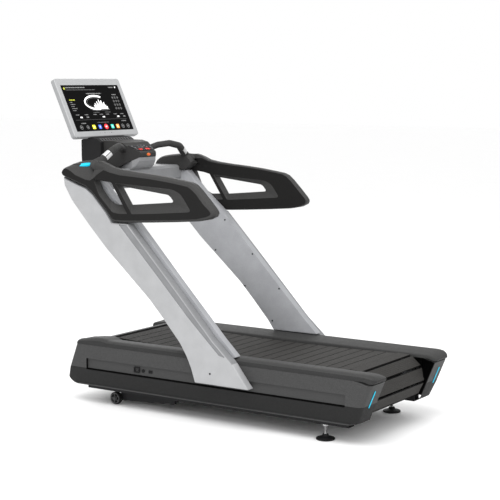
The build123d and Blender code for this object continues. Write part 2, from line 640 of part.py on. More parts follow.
# foot rail: section across the rail, from the belt side outwards
CAP = [(-COVER_IN, 321), (-COVER_IN, 333), (-268, 337), (-330, 347), (-375, 351), (-395, 345), (-404, 334), (-405, SEAM_Z),
       (-400, SEAM_Z), (-399, 330), (-390, 340), (-374, 346), (-330, 342), (-268, 332), (-267, 321)]
with BuildPart() as rail_cap_left:
    with BuildSketch(Plane.YZ.offset(-744 + DX)):
        with BuildLine():
            Polyline(*CAP, close=True)
        make_face()
    extrude(amount=1002 + 744)
    # solid rounded end over the step-on end
    with BuildSketch(Plane.XZ.offset(COVER_IN + 18)):
        with BuildLine():
            Polyline(*st((985, 320), (1030, 309), (1045, 309), (1052, 318), (1048, 334), (1026, 347), (985, 349)), close=True)
        make_face()
    extrude(amount=COVER_OUT - COVER_IN - 18)
    # raised toe at the drive end
    with BuildSketch(Plane.XZ.offset(COVER_IN)):
        with BuildLine():
            Polyline(*st((-744, 319), (-758, 328), (-742, 342), (-700, 346), (-650, 356), (-615, 360), (-560, 358),
                         (-540, 346), (-540, 336), (-735, 336), (-735, 319)), close=True)
        make_face()
    extrude(amount=COVER_OUT - COVER_IN)
    with BuildSketch(Plane.YZ.offset(-800 + DX)):
        with BuildLine():
            Polyline((-380, 390), (-380, 361), (-397, 351), (-405, 333), (-420, 333), (-420, 390), close=True)
        make_face()
    extrude(amount=265, mode=Mode.SUBTRACT)
    with BuildSketch(Plane.YZ.offset(-800 + DX)):
        with BuildLine():
            Polyline((-240, 390), (-330, 368), (-262, 340), (-240, 340), close=True)
        make_face()
    extrude(amount=265, mode=Mode.SUBTRACT)
    # rounded outer corner of the step-on end
    with BuildSketch(Plane.XY.offset(290)):
        with BuildLine():
            Line((1070 + DX, -420), (1070 + DX, -365))
            Line((1070 + DX, -365), (1053 + DX, -365))
            ThreePointArc((1053 + DX, -365), (1040 + DX, -394), (1005 + DX, -405.5))
            Line((1005 + DX, -405.5), (1005 + DX, -420))
            Line((1005 + DX, -420), (1070 + DX, -420))
        make_face()
    extrude(amount=80, mode=Mode.SUBTRACT)
    # opening for the upright
    with BuildSketch(Plane.XZ.offset(UP_IN + 2)):
        with BuildLine():
            Polyline(*st((30, 300), (232, 300), (205, 375), (20, 375)), close=True)
        make_face()
    extrude(amount=39, mode=Mode.SUBTRACT)
rail_cap_left.part.label = "rail_cap_left"

with BuildPart() as rail_cap_right:
    add(rail_cap_left.part)
    mirror(about=Plane.XZ, mode=Mode.REPLACE)
rail_cap_right.part.label = "rail_cap_right"

# ---------------------------------------------------------------- front cover, rear lights, mains fittings
with BuildPart() as front_cover:
    with BuildSketch(Plane.XZ):
        with BuildLine():
            Polyline(*st((-612, 346), (-640, 344), (-668, 331), (-720, 278), (-756, 200), (-778, 130), (-768, 104),
                         (-740, 94), (-700, 94), (-700, 97), (-739, 97), (-765, 106), (-774.6, 130), (-753, 199),
                         (-717, 276), (-666, 328), (-640, 341), (-612, 343)), close=True)
        make_face()
    extrude(amount=COVER_IN - 0.5, both=True)
front_cover.part.label = "front_cover"

LIGHT_A = atan2(306.0 - 108.0, 1040.0 - 958.0)
with BuildPart() as rear_lights:
    with BuildSketch(Plane(((1008.5 + DX), -334.5, 225.0), x_dir=(0, 1, 0), z_dir=(sin(LIGHT_A), 0, -cos(LIGHT_A)))):
        SlotOverall(92, 7, rotation=90)
    extrude(amount=1.6)
    mirror(about=Plane.XZ)
rear_lights.part.label = "rear_lights"

with BuildPart() as power_inlet:
    with BuildSketch(Plane.XZ.offset(386)):
        with Locations((-340 + DX, 221)):
            RectangleRounded(34, 26, 2.8)
    extrude(amount=12.5)
    with BuildSketch(Plane.XZ.offset(398.5)):
        with Locations((-340 + DX, 221)):
            RectangleRounded(38, 30, 3.5)
    extrude(amount=1.5)
    with BuildSketch(Plane.XZ.offset(388)):
        with Locations((-340 + DX, 221)):
            RectangleRounded(26, 18, 3)
    extrude(amount=20, mode=Mode.SUBTRACT)
    with BuildSketch(Plane.XZ.offset(387)):
        with Locations((-340 + DX, 221)):
            with Locations((-7, -2), (0, 3), (7, -2)):
                Rectangle(2, 5)
    extrude(amount=9)
power_inlet.part.label = "power_inlet"

with BuildPart() as breaker_button:
    with BuildSketch(Plane.XZ.offset(388)):
        with Locations((-300 + DX, 219)):
            Circle(8.7)
    extrude(amount=11)
    chamfer(breaker_button.faces().sort_by(Axis.Y)[0].edges(), length=1.2)
breaker_button.part.label = "breaker_button"

ROCK_X, ROCK_Z, ROCK_Y = -252 + DX, 219.0, -394.5
ROCK_PLANE = Plane((ROCK_X, ROCK_Y, ROCK_Z - 7.5), x_dir=(cos(radians(7)), sin(radians(7)), 0), z_dir=(0, 0, 1))
with BuildPart() as rocker_switch:
    with BuildSketch(ROCK_PLANE):
        with BuildLine():
            Polyline((-11, -3.6), (-11, 3), (-6, 5), (6, 5), (11, 3), (11, -3.6), (0, -2.2), close=True)
        make_face()
    extrude(amount=15)
rocker_switch.part.label = "rocker_switch"

# ---------------------------------------------------------------- uprights
F_EDGE = [(-775, 1206), (-770, 1163), (-722, 1087), (-602, 958), (-484, 840), (-213, 604), (-131, 519), (-26, 403)]
OUT_PROF = F_EDGE + [(17, 336), (42, 283), (66, 212), (390, 212), (374, 231), (288, 339), (179, 434), (-90, 716),
                     (-349, 981.5), (-453, 981.5), (-492, 1034), (-544, 1086), (-583, 1125), (-623, 1152), (-690, 1173),
                     (-750, 1194)]
OUT_CAV = [(-766, 1196), (-762, 1165), (-716, 1090), (-598, 962), (-479, 845), (-208, 608), (-125, 521), (-20, 405),
           (22, 338), (48, 283), (70, 218), (378, 218), (369, 229), (283, 336), (174, 430), (-94, 712),
           (-349, 974), (-457, 974), (-498, 1029), (-549, 1080), (-587, 1118), (-626, 1145), (-692, 1166),
           (-748, 1186)]
with BuildPart() as upright_outer_left:
    with BuildSketch(Plane.XZ.offset(UP_SPLIT)):
        with BuildLine():
            Polyline(*st(*OUT_PROF), close=True)
        make_face()
    extrude(amount=UP_OUT - UP_SPLIT)
    face = upright_outer_left.faces().sort_by(Axis.Y)[0]
    chamfer(face.edges(), length=4)
    # recessed strip along the rear of the outer face
    with BuildSketch(Plane.XZ.offset(UP_OUT - 4)):
        with BuildLine():
            Polyline(*st((-410, 978), (-358, 978), (-102, 716), (167, 436), (226, 382), (203, 370), (27, 534),
                         (-148, 712)), close=True)
        make_face()
    extrude(amount=10, mode=Mode.SUBTRACT)
    with BuildSketch(Plane.XZ.offset(UP_SPLIT - 1)):
        with BuildLine():
            Polyline(*st(*OUT_CAV), close=True)
        make_face()
    extrude(amount=UP_OUT - UP_SPLIT - 7, mode=Mode.SUBTRACT)
upright_outer_left.part.label = "upright_outer_left"

with BuildPart() as upright_outer_right:
    add(upright_outer_left.part)
    mirror(about=Plane.XZ, mode=Mode.REPLACE)
upright_outer_right.part.label = "upright_outer_right"

IN_PROF = F_EDGE + [(10, 353.5), (290, 353.5), (201, 438), (-68, 716), (-325, 985), (-420, 1064), (-462, 1098),
                    (-565, 1202), (-569, 1206)]
IN_CAV = [(-766, 1203), (-766, 1164), (-718, 1090), (-598, 962), (-480, 844), (-209, 608), (-127, 521), (-22, 405),
          (14, 350), (282, 350), (196, 434), (-72, 712), (-329, 981), (-423, 1060), (-465, 1094), (-568, 1198),
          (-572, 1203)]
with BuildPart() as upright_inner_shells:
    with BuildSketch(Plane.XZ.offset(UP_IN)):
        with BuildLine():
            Polyline(*st(*IN_PROF), close=True)
        make_face()
    extrude(amount=UP_SPLIT - UP_IN - 3)
    inner_face = upright_inner_shells.faces().sort_by(Axis.Y)[-1]
    chamfer(inner_face.edges().filter_by(lambda e: e.center().Z > 356), length=4)
    with BuildSketch(Plane.XZ.offset(UP_IN + 3)):
        with BuildLine():
            Polyline(*st(*IN_CAV), close=True)
        make_face()
    extrude(amount=60, mode=Mode.SUBTRACT)
    with BuildSketch(Plane.XZ.offset(UP_IN + 4)):
        with BuildLine():
            Polyline(*st((36, 345), (240, 345), (240, 360), (36, 360)), close=True)
        make_face()
    extrude(amount=60, mode=Mode.SUBTRACT)
    # window for the cross beam
    with BuildSketch(Plane.XZ.offset(UP_IN - 5)):
        with Locations((-668 + DX, 1162)):
            Rectangle(56, 52)
    extrude(amount=12, mode=Mode.SUBTRACT)
    mirror(about=Plane.XZ)
upright_inner_shells.part.label = "upright_inner_shells"

with BuildPart() as upright_posts:
    with BuildSketch(Plane.XZ.offset(366)):
        with BuildLine():
            Polyline(*st((104, 262), (217, 262), (217, 300), (113, 403), (-587, 1100), (-620, 1185), (-705, 1185),
                         (-705, 1105), (0, 403), (104, 300)), close=True)
        make_face()
    extrude(amount=33)
    with BuildSketch(Plane.XZ.offset(369)):
        with BuildLine():
            Polyline(*st((112, 302), (209, 302), (106, 402), (-593, 1098), (-627, 1177), (-697, 1177), (-697, 1107),
                         (7, 404)), close=True)
        make_face()
    extrude(amount=27, mode=Mode.SUBTRACT)
    with BuildSketch(Plane.XZ.offset(RAIL_Y1)):
        with BuildLine():
            Polyline(*st((60, 90), (290, 90), (290, 180), (215, 300), (95, 300), (60, 180)), close=True)
        make_face()
    extrude(amount=9)
    mirror(about=Plane.XZ)
upright_posts.part.label = "upright_posts"

with BuildPart() as cross_beam:
    with BuildSketch(Plane.XZ):
        with Locations((-668 + DX, 1162)):
            Rectangle(54, 50)
            Rectangle(48, 44, mode=Mode.SUBTRACT)
    extrude(amount=366, both=True)
cross_beam.part.label = "cross_beam"

SCREWS_IN = st((-375, 767), (-177, 581), (4, 403), (-311, 939), (-127, 761), (47, 583))
with BuildPart() as upright_screws:
    with BuildSketch(Plane.XZ.offset(UP_IN - 2.2)):
        with Locations(*SCREWS_IN):
            Circle(4.5)
    extrude(amount=2.2)
    with BuildSketch(Plane.XZ.offset(UP_OUT)):
        with Locations(*st((161, 268))):
            Circle(4.5)
    extrude(amount=2.2)
    mirror(about=Plane.XZ)
upright_screws.part.label = "upright_screws"

# ---------------------------------------------------------------- handrails
HR_OUTLINE = [(-779, 1209), (-788, 1228), (-772, 1254), (-741, 1277), (-680, 1291), (-620, 1297), (-560, 1297),
              (-530, 1294), (-493, 1281), (-454, 1266), (-389, 1255), (-314, 1243), (-155, 1227), (18, 1211), (58, 1200),
              (98, 1167), (184, 1080), (193, 1062), (184, 1045), (150, 1030), (90, 1019), (-157, 999), (-380, 987),
              (-452, 987), (-490, 1039), (-543, 1091), (-582, 1130), (-622, 1157), (-689, 1178), (-750, 1199)]
# windows: outline at the inner face, then at the outer face
WINDOW_REAR = [(-414, 1172), (-112, 1140), (-98, 1133), (-72, 1104), (-210, 1091), (-350, 1078)]
WINDOW_REAR_OUT = [(-427, 1191), (-60, 1173), (-8, 1152), (58, 1063), (-199, 1041), (-319, 1033)]
WINDOW_FRONT = [(-569, 1212), (-444, 1182), (-370, 1079), (-442, 1075), (-481, 1095), (-537, 1155)]
WINDOW_FRONT_OUT = [(-572, 1204), (-450, 1195), (-344, 1033), (-404, 1031), (-444, 1036), (-535, 1124)]
INLAY_PLANE = Plane((-673 + DX, -401, 1269), x_dir=(1, 0, 0.13), z_dir=(-0.1, -0.6, 0.8))
with BuildPart() as handrail_left:
    with BuildSketch(Plane.XZ.offset(HR_IN)):
        with BuildLine():
            Polyline(*st(*HR_OUTLINE), close=True)
        make_face()
    extrude(amount=HR_OUT - HR_IN)
    outline = handrail_left.faces().sort_by(Axis.Y)[0].outer_wire()
    chamfer(outline.edges(), length=9)
    # shoulder over the top of the upright
    with BuildSketch(Plane.XZ.offset(346)):
        with BuildLine():
            Polyline(*st((-779, 1209), (-788, 1228), (-772, 1254), (-741, 1277), (-680, 1291), (-620, 1297), (-592, 1297),
                         (-584, 1250), (-584, 1207)), close=True)
        make_face()
    extrude(amount=HR_IN - 346 + 2)
    # sloping outer side of the shoulder
    with BuildSketch(Plane.YZ.offset(-800 + DX)):
        with BuildLine():
            Polyline((-378, 1300), (-378, 1293), (-430, 1247), (-447, 1222), (-456.9, 1205), (-470, 1205), (-470, 1300),
                     close=True)
        make_face()
    extrude(amount=206, mode=Mode.SUBTRACT)
    # the two windows, flared outwards
    with BuildSketch(Plane.XZ.offset(HR_IN)):
        with BuildLine():
            Polyline(*st(*WINDOW_REAR), close=True)
        make_face()
    with BuildSketch(Plane.XZ.offset(HR_OUT)):
        with BuildLine():
            Polyline(*st(*WINDOW_REAR_OUT), close=True)
        make_face()
    loft(ruled=True, mode=Mode.SUBTRACT)
    with BuildSketch(Plane.XZ.offset(HR_IN)):
        with BuildLine():
            Polyline(*st(*WINDOW_FRONT), close=True)
        make_face()
    with BuildSketch(Plane.XZ.offset(HR_OUT)):
        with BuildLine():
            Polyline(*st(*WINDOW_FRONT_OUT), close=True)
        make_face()
    loft(ruled=True, mode=Mode.SUBTRACT)
    # seat of the shoulder inlay
    with BuildSketch(INLAY_PLANE):
        Ellipse(50, 12)
    extrude(amount=4, both=True, mode=Mode.SUBTRACT)
    with BuildSketch(INLAY_PLANE):
        Ellipse(60, 18)
    extrude(amount=14, mode=Mode.SUBTRACT)
handrail_left.part.label = "handrail_left"

with BuildPart() as handrail_right:
    add(handrail_left.part)
    mirror(about=Plane.XZ, mode=Mode.REPLACE)
handrail_right.part.label = "handrail_right"

with BuildPart() as shoulder_inlays:
    with BuildSketch(INLAY_PLANE):
        Ellipse(50, 12)
    extrude(amount=4, both=True)
    mirror(about=Plane.XZ)
shoulder_inlays.part.label = "shoulder_inlays"

# ---------------------------------------------------------------- console
with BuildPart() as console_body:
    with BuildSketch(Plane.XZ):
        with BuildLine():
            Polyline(*st((-566, 1297), (-561, 1303), (-561, 1318), (-568, 1326), (-574, 1328), (-634, 1360), (-652, 1373),
                         (-700, 1382), (-769, 1382), (-769, 1237), (-690, 1237)), close=True)
        make_face()
    extrude(amount=140, both=True)
    with BuildSketch(Plane.XY.offset(1200)):
        with BuildLine():
            Polyline(*st((-555, -62), (-570, -72), (-636, -108), (-700, -122), (-800, -128), (-800, 128), (-700, 122),
                         (-636, 108), (-570, 72), (-555, 62)), close=True)
        make_face()
    extrude(amount=250, mode=Mode.INTERSECT)
    # hollow body, open towards the neck
    with BuildSketch(Plane.XZ):
        with BuildLine():
            Polyline(*st((-582, 1300), (-582, 1319), (-636, 1352), (-654, 1367), (-700, 1377), (-775, 1377),
                         (-775, 1242), (-690, 1242)), close=True)
        make_face()
    extrude(amount=60, both=True, mode=Mode.SUBTRACT)
    # pocket of the stop button
    with BuildSketch(Plane.YZ.offset(-577 + DX)):
        with Locations((0, 1310.5)):
            Ellipse(13.5, 7.1)
    extrude(amount=30, mode=Mode.SUBTRACT)
console_body.part.label = "console_body"

PANEL_A = atan2(1360.0 - 1328.0, 634.0 - 574.0)
with BuildPart() as console_panel:
    with BuildSketch(Plane(((-604 + DX), 0, 1344.0), x_dir=(0, 1, 0), z_dir=(sin(PANEL_A), 0, cos(PANEL_A)))):
        with BuildLine():
            Polyline((-98, 29), (98, 29), (66, -29), (-66, -29), close=True)
        make_face()
        fillet(vertices(), radius=5)
    extrude(amount=2.5)
console_panel.part.label = "console_panel"

with BuildPart() as stop_button:
    with BuildSketch(Plane.YZ.offset(-571 + DX)):
        with Locations((0, 1310.5)):
            Ellipse(13.0, 6.6)
    extrude(amount=15)
    chamfer(stop_button.faces().sort_by(Axis.X)[-1].edges(), length=1.5)
stop_button.part.label = "stop_button"

with BuildPart() as console_belly:
    # shell of the cross beam between the uprights
    with BuildSketch(Plane.XZ):
        with BuildLine():
            Polyline(*st((-770, 1236), (-625, 1236), (-612, 1222), (-612, 1165), (-640, 1130), (-740, 1122),
                         (-782, 1160), (-782, 1222)), close=True)
        make_face()
        with BuildLine():
            Polyline(*st((-767, 1232), (-628, 1232), (-616, 1220), (-616, 1167), (-642, 1134), (-738, 1126),
                         (-778, 1162), (-778, 1220)), close=True)
        make_face(mode=Mode.SUBTRACT)
    extrude(amount=345, both=True)
    with BuildSketch(Plane.XZ):
        with BuildLine():
            Polyline(*st((-612, 1204), (-612, 1165), (-640, 1130), (-740, 1122), (-782, 1160), (-782, 1204)), close=True)
        make_face()
        with BuildLine():
            Polyline(*st((-616, 1200), (-616, 1167), (-642, 1134), (-738, 1126), (-778, 1162), (-778, 1200)), close=True)
        make_face(mode=Mode.SUBTRACT)
    extrude(amount=UP_IN - 0.2, both=True)
    # keel under the console
    with BuildSketch(Plane.XZ):
        with BuildLine():
            Polyline(*st((-567, 1296), (-569, 1276), (-588, 1250), (-616, 1232), (-700, 1232)), close=True)
        make_face()
    extrude(amount=90, both=True)
    with BuildSketch(Plane.XY.offset(1100)):
        with BuildLine():
            Polyline(*st((-560, -66), (-612, -95), (-612, -400), (-900, -400), (-900, 400), (-612, 400), (-612, 95),
                         (-560, 66)), close=True)
        make_face()
    extrude(amount=250, mode=Mode.INTERSECT)
console_belly.part.label = "console_belly"

GRIP_PTS = [(-602 + DX, -392, 1262), (-586 + DX, -362, 1294), (-570 + DX, -290, 1346), (-588 + DX, -222, 1362),
            (-622 + DX, -160, 1354), (-652 + DX, -100, 1332)]
with BuildPart() as grip_bars:
    with BuildLine() as grip_path:
        FilletPolyline(*GRIP_PTS, radius=40)
    with BuildSketch(Plane(grip_path.line @ 0, z_dir=grip_path.line % 0)):
        Circle(18)
    sweep()
    mirror(about=Plane.XZ)
    add(handrail_left.part, mode=Mode.SUBTRACT)
    add(handrail_right.part, mode=Mode.SUBTRACT)
    add(console_body.part, mode=Mode.SUBTRACT)
grip_bars.part.label = "grip_bars"

G0, G1 = Vector(*GRIP_PTS[1]), Vector(*GRIP_PTS[2])
GDIR = (G1 - G0).normalized()
with BuildPart() as pulse_plates:
    with BuildSketch(Plane(G0 + GDIR * 26, z_dir=GDIR)):
        Circle(19.4)
        Circle(18.02, mode=Mode.SUBTRACT)
        Rectangle(60, 7, mode=Mode.SUBTRACT)
    extrude(amount=40)
    mirror(about=Plane.XZ)
pulse_plates.part.label = "pulse_plates"

# ---------------------------------------------------------------- screen
TILT = atan2(SCR_BOT[0] - SCR_TOP[0], SCR_TOP[1] - SCR_BOT[1])
SCR_C = ((SCR_TOP[0] + SCR_BOT[0]) / 2, 0, (SCR_TOP[1] + SCR_BOT[1]) / 2)
SCR_H = hypot(SCR_BOT[0] - SCR_TOP[0], SCR_TOP[1] - SCR_BOT[1])
SCR_N = (cos(TILT), 0, sin(TILT))
SCR_PLANE = Plane(SCR_C, x_dir=(0, 1, 0), z_dir=SCR_N)

with BuildPart() as screen_neck:
    with BuildSketch(Plane.XZ):
        with BuildLine():
            Polyline(*st((-900, 1225), (-905, 1300), (-905, 1385), (-880, 1396), (-832, 1399), (-800, 1394), (-770, 1376),
                         (-770, 1237), (-783, 1237), (-783, 1225)), close=True)
        make_face()
    extrude(amount=150, both=True)
    with BuildSketch(Plane.XZ):
        with BuildLine():
            Polyline(*st((-893, 1230), (-898, 1300), (-898, 1380), (-878, 1390), (-832, 1393), (-802, 1388), (-775, 1373),
                         (-775, 1242), (-788, 1230)), close=True)
        make_face()
    extrude(amount=145, both=True, mode=Mode.SUBTRACT)
    # open underside
    with BuildSketch(Plane.XY.offset(1215)):
        with Locations((-841 + DX, 0)):
            Rectangle(100, 286)
    extrude(amount=20, mode=Mode.SUBTRACT)
    # arm behind the screen
    with BuildSketch(Plane.XZ):
        with BuildLine():
            Polyline(*st((-902, 1372), (-915, 1395), (-945, 1445), (-925, 1470), (-858, 1402), (-845, 1390)), close=True)
        make_face()
    extrude(amount=60, both=True)
    with BuildSketch(SCR_PLANE.offset(4)):
        Rectangle(600, SCR_H)
    extrude(amount=-30, mode=Mode.SUBTRACT)
    with BuildSketch(SCR_PLANE.offset(-18)):
        Rectangle(432, 250)
    extrude(amount=-80, mode=Mode.SUBTRACT)
    with BuildSketch(Plane(((-785 + DX), 0, 1386.0), x_dir=(0, 1, 0), z_dir=(18, 0, 30))):
        with GridLocations(22, 0, 10, 1):
            SlotOverall(20, 7, rotation=90)
    extrude(amount=5, both=True, mode=Mode.SUBTRACT)
screen_neck.part.label = "screen_neck"

with BuildPart() as screen_shell:
    with BuildSketch(SCR_PLANE.offset(-4)):
        RectangleRounded(2 * SCR_HALF, SCR_H, 16)
    extrude(amount=-22)
    with BuildSketch(SCR_PLANE.offset(-18)):
        RectangleRounded(430, 250, 30)
    extrude(amount=-45.3, taper=14)
    # interior of the housing
    with BuildSketch(SCR_PLANE.offset(-4)):
        RectangleRounded(2 * SCR_HALF - 8, SCR_H - 8, 10)
    extrude(amount=-18, mode=Mode.SUBTRACT)
    with BuildSketch(SCR_PLANE.offset(-15)):
        RectangleRounded(410, 230, 24)
    extrude(amount=-44.5, taper=14, mode=Mode.SUBTRACT)
screen_shell.part.label = "screen_shell"

with BuildPart() as screen_bezel:
    with BuildSketch(SCR_PLANE.offset(-4)):
        RectangleRounded(2 * SCR_HALF, SCR_H, 16)
        with Locations((0, -4)):
            RectangleRounded(485, 275, 5, mode=Mode.SUBTRACT)
    extrude(amount=6)
    chamfer(screen_bezel.faces().sort_by(Axis((0, 0, 0), SCR_N))[-1].outer_wire().edges(), length=3)
screen_bezel.part.label = "screen_bezel"

with BuildPart() as screen_glass:
    with BuildSketch(SCR_PLANE.offset(-4)):
        with Locations((0, -4)):
            RectangleRounded(484.6, 274.6, 4.8)
    extrude(amount=5)
screen_glass.part.label = "screen_glass"

NAMED = [side_rails, cross_tubes, idler_brackets, pillow_blocks, front_shaft, rear_shaft, front_pulleys, rear_pulleys,
         carrier_belts, slat_beams, slat_treads, drive_motor, motor_rotor, motor_pulley, driven_pulley, drive_belt,
         motor_controller, lift_frame, lift_pins, lift_actuator_body, lift_actuator_rod, wheel_axles,
         front_wheel_left, front_wheel_right, rear_foot_left, rear_foot_right, foot_lock_nuts, side_cover_left,
         side_cover_right, rail_cap_left, rail_cap_right, front_cover, rear_lights, power_inlet, breaker_button,
         rocker_switch, upright_outer_left, upright_outer_right, upright_inner_shells, upright_posts, cross_beam,
         upright_screws, handrail_left, handrail_right, shoulder_inlays, grip_bars, pulse_plates, console_body,
         console_panel, stop_button, console_belly, screen_neck, screen_shell, screen_bezel, screen_glass] + idlers
for piece in NAMED:
    export_step(piece.part, "parts/%s.step" % piece.part.label)
print(len(NAMED), "pieces")
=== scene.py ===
import bpy
import bmesh
import math
from mathutils import Vector, Matrix
from mathutils.geometry import tessellate_polygon


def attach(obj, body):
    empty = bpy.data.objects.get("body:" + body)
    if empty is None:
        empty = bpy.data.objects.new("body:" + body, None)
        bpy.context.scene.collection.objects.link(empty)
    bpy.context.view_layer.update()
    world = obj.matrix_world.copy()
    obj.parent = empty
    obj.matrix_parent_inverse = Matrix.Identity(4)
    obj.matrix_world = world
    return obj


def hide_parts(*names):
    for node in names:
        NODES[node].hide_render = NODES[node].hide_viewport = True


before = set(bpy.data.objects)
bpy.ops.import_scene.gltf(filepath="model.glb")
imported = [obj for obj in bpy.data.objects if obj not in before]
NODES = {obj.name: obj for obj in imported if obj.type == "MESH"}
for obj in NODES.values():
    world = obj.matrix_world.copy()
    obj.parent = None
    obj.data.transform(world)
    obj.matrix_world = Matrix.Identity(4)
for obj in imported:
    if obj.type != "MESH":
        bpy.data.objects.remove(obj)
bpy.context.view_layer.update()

DX = -15.21  # mm between the drive datum and the machine's middle


# ------------------------------------------------------------------ materials
def mat(name, base, rough=0.5, metal=0.0, vary=0.07, scale=60.0, grain=0.0, gscale=420.0, bump=0.0, bscale=1200.0,
        bdist=0.0004, rvar=0.06, spec=0.5, coat=0.0, coat_rough=0.1, glow=None, glow_strength=0.0, dust=None):
    m = bpy.data.materials.new(name)
    m.use_nodes = True
    t = m.node_tree
    t.nodes.clear()
    n, k = t.nodes.new, t.links.new
    out = n("ShaderNodeOutputMaterial")
    b = n("ShaderNodeBsdfPrincipled")
    k(b.outputs[0], out.inputs[0])
    b.inputs["Metallic"].default_value = metal
    b.inputs["Specular IOR Level"].default_value = spec
    b.inputs["Coat Weight"].default_value = coat
    b.inputs["Coat Roughness"].default_value = coat_rough
    co = n("ShaderNodeTexCoord")
    big = n("ShaderNodeTexNoise")
    big.inputs["Scale"].default_value = scale
    big.inputs["Detail"].default_value = 3.0
    k(co.outputs["Object"], big.inputs["Vector"])
    ramp = n("ShaderNodeValToRGB")
    lo = [max(0.0, c * (1 - vary)) for c in base]
    hi = [min(1.0, c * (1 + vary)) for c in base]
    ramp.color_ramp.elements[0].position, ramp.color_ramp.elements[1].position = 0.3, 0.7
    ramp.color_ramp.elements[0].color = (*lo, 1)
    ramp.color_ramp.elements[1].color = (*hi, 1)
    k(big.outputs["Fac"], ramp.inputs["Fac"])
    colour = ramp.outputs["Color"]
    if grain:
        fine = n("ShaderNodeTexNoise")
        fine.inputs["Scale"].default_value = gscale
        fine.inputs["Detail"].default_value = 2.0
        k(co.outputs["Object"], fine.inputs["Vector"])
        r2 = n("ShaderNodeValToRGB")
        r2.color_ramp.elements[0].position, r2.color_ramp.elements[1].position = 0.3, 0.7
        r2.color_ramp.elements[0].color = (1 - grain,) * 3 + (1,)
        r2.color_ramp.elements[1].color = (1 + grain,) * 3 + (1,)
        k(fine.outputs["Fac"], r2.inputs["Fac"])
        mix = n("ShaderNodeMix")
        mix.data_type = "RGBA"
        mix.blend_type = "MULTIPLY"
        mix.inputs[0].default_value = 1.0
        k(colour, mix.inputs[6])
        k(r2.outputs["Color"], mix.inputs[7])
        colour = mix.outputs[2]
    k(colour, b.inputs["Base Color"])
    rr = n("ShaderNodeMapRange")
    rr.inputs["From Min"].default_value, rr.inputs["From Max"].default_value = 0.3, 0.7
    rr.inputs["To Min"].default_value, rr.inputs["To Max"].default_value = max(0.02, rough - rvar), min(1.0, rough + rvar)
    k(big.outputs["Fac"], rr.inputs["Value"])
    k(rr.outputs["Result"], b.inputs["Roughness"])
    if bump:
        bn = n("ShaderNodeTexNoise")
        bn.inputs["Scale"].default_value = bscale
        bn.inputs["Detail"].default_value = 2.0
        k(co.outputs["Object"], bn.inputs["Vector"])
        bu = n("ShaderNodeBump")
        bu.inputs["Strength"].default_value = bump
        bu.inputs["Distance"].default_value = bdist
        k(bn.outputs["Fac"], bu.inputs["Height"])
        k(bu.outputs["Normal"], b.inputs["Normal"])
    if glow:
        b.inputs["Emission Color"].default_value = (*glow, 1)
        b.inputs["Emission Strength"].default_value = glow_strength
    return m


M_COVER = mat("cover_shell", (0.042, 0.042, 0.042), 0.6, grain=0.25, gscale=330, bump=0.5, spec=0.3)
# painted shade: a darker copy of the cover plastic for the tucked-in lower band
M_COVER_LOW_SHADE = mat("cover_lower_band_painted_shade", (0.014, 0.014, 0.014), 0.62, grain=0.28, gscale=330, bump=0.5, spec=0.18)
# painted shade: near-black for the inside of the cover slot, the recess front wall and the neck grille slots
M_GROOVE_SHADE = mat("groove_painted_shade", (0.003, 0.003, 0.003), 0.8, grain=0.1, spec=0.06)
M_CAP = mat("rail_cap_skin", (0.036, 0.036, 0.0355), 0.62, grain=0.25, gscale=330, bump=0.6, spec=0.25)
# painted shade: a darker copy of the cap plastic for its outer side and rear end
M_CAP_SIDE_SHADE = mat("rail_cap_side_painted_shade", (0.024, 0.024, 0.024), 0.62, grain=0.22, gscale=330, bump=0.5, spec=0.22)
M_SILVER = mat("silver_paint", (0.365, 0.368, 0.375), 0.5, metal=0.1, vary=0.05, scale=14, grain=0.07, gscale=500, bump=0.12,
               bscale=1500, spec=0.3, coat=0.08, coat_rough=0.4)
# painted shade: a darker copy of the silver paint for rear-facing faces and the recessed strip
M_SILVER_SHADE = mat("silver_recess_painted_shade", (0.215, 0.218, 0.225), 0.55, metal=0.1, vary=0.06, scale=14, grain=0.07, gscale=500,
                    bump=0.12, bscale=1500, spec=0.25)
M_SILVER_IN = mat("silver_inner", (0.33, 0.335, 0.35), 0.5, metal=0.1, vary=0.07, scale=12, grain=0.07, gscale=500,
                  bump=0.12, bscale=1500, spec=0.3)
M_FOAM = mat("rail_skin", (0.033, 0.0325, 0.032), 0.58, grain=0.28, gscale=300, bump=0.6, bscale=900, spec=0.28)
M_FOAM_DARK = mat("rail_side_band", (0.0085, 0.0082, 0.008), 0.62, grain=0.28, gscale=300, bump=0.6, bscale=900, spec=0.15)
M_GRIP = mat("grip_rubber", (0.03, 0.0295, 0.029), 0.6, grain=0.25, gscale=350, bump=0.5, bscale=1000, spec=0.25)
M_PLATE = mat("pulse_plate", (0.62, 0.62, 0.62), 0.35, metal=0.2, vary=0.03, bump=0.05)
M_TREAD = mat("tread_rubber", (0.034, 0.0325, 0.0305), 0.7, grain=0.25, gscale=300, bump=0.6, bscale=900, spec=0.2)
# painted shade: near-black for the slat sides, standing for the dark gaps between slats
M_TREAD_GAP_SHADE = mat("tread_gap_painted_shade", (0.006, 0.0057, 0.0055), 0.8, grain=0.2, gscale=300, spec=0.08)
M_KEY = mat("console_key", (0.03, 0.03, 0.032), 0.5, grain=0.1, spec=0.2)
M_KEY_LIGHT = mat("console_key_light", (0.16, 0.16, 0.165), 0.5, grain=0.1, spec=0.2)
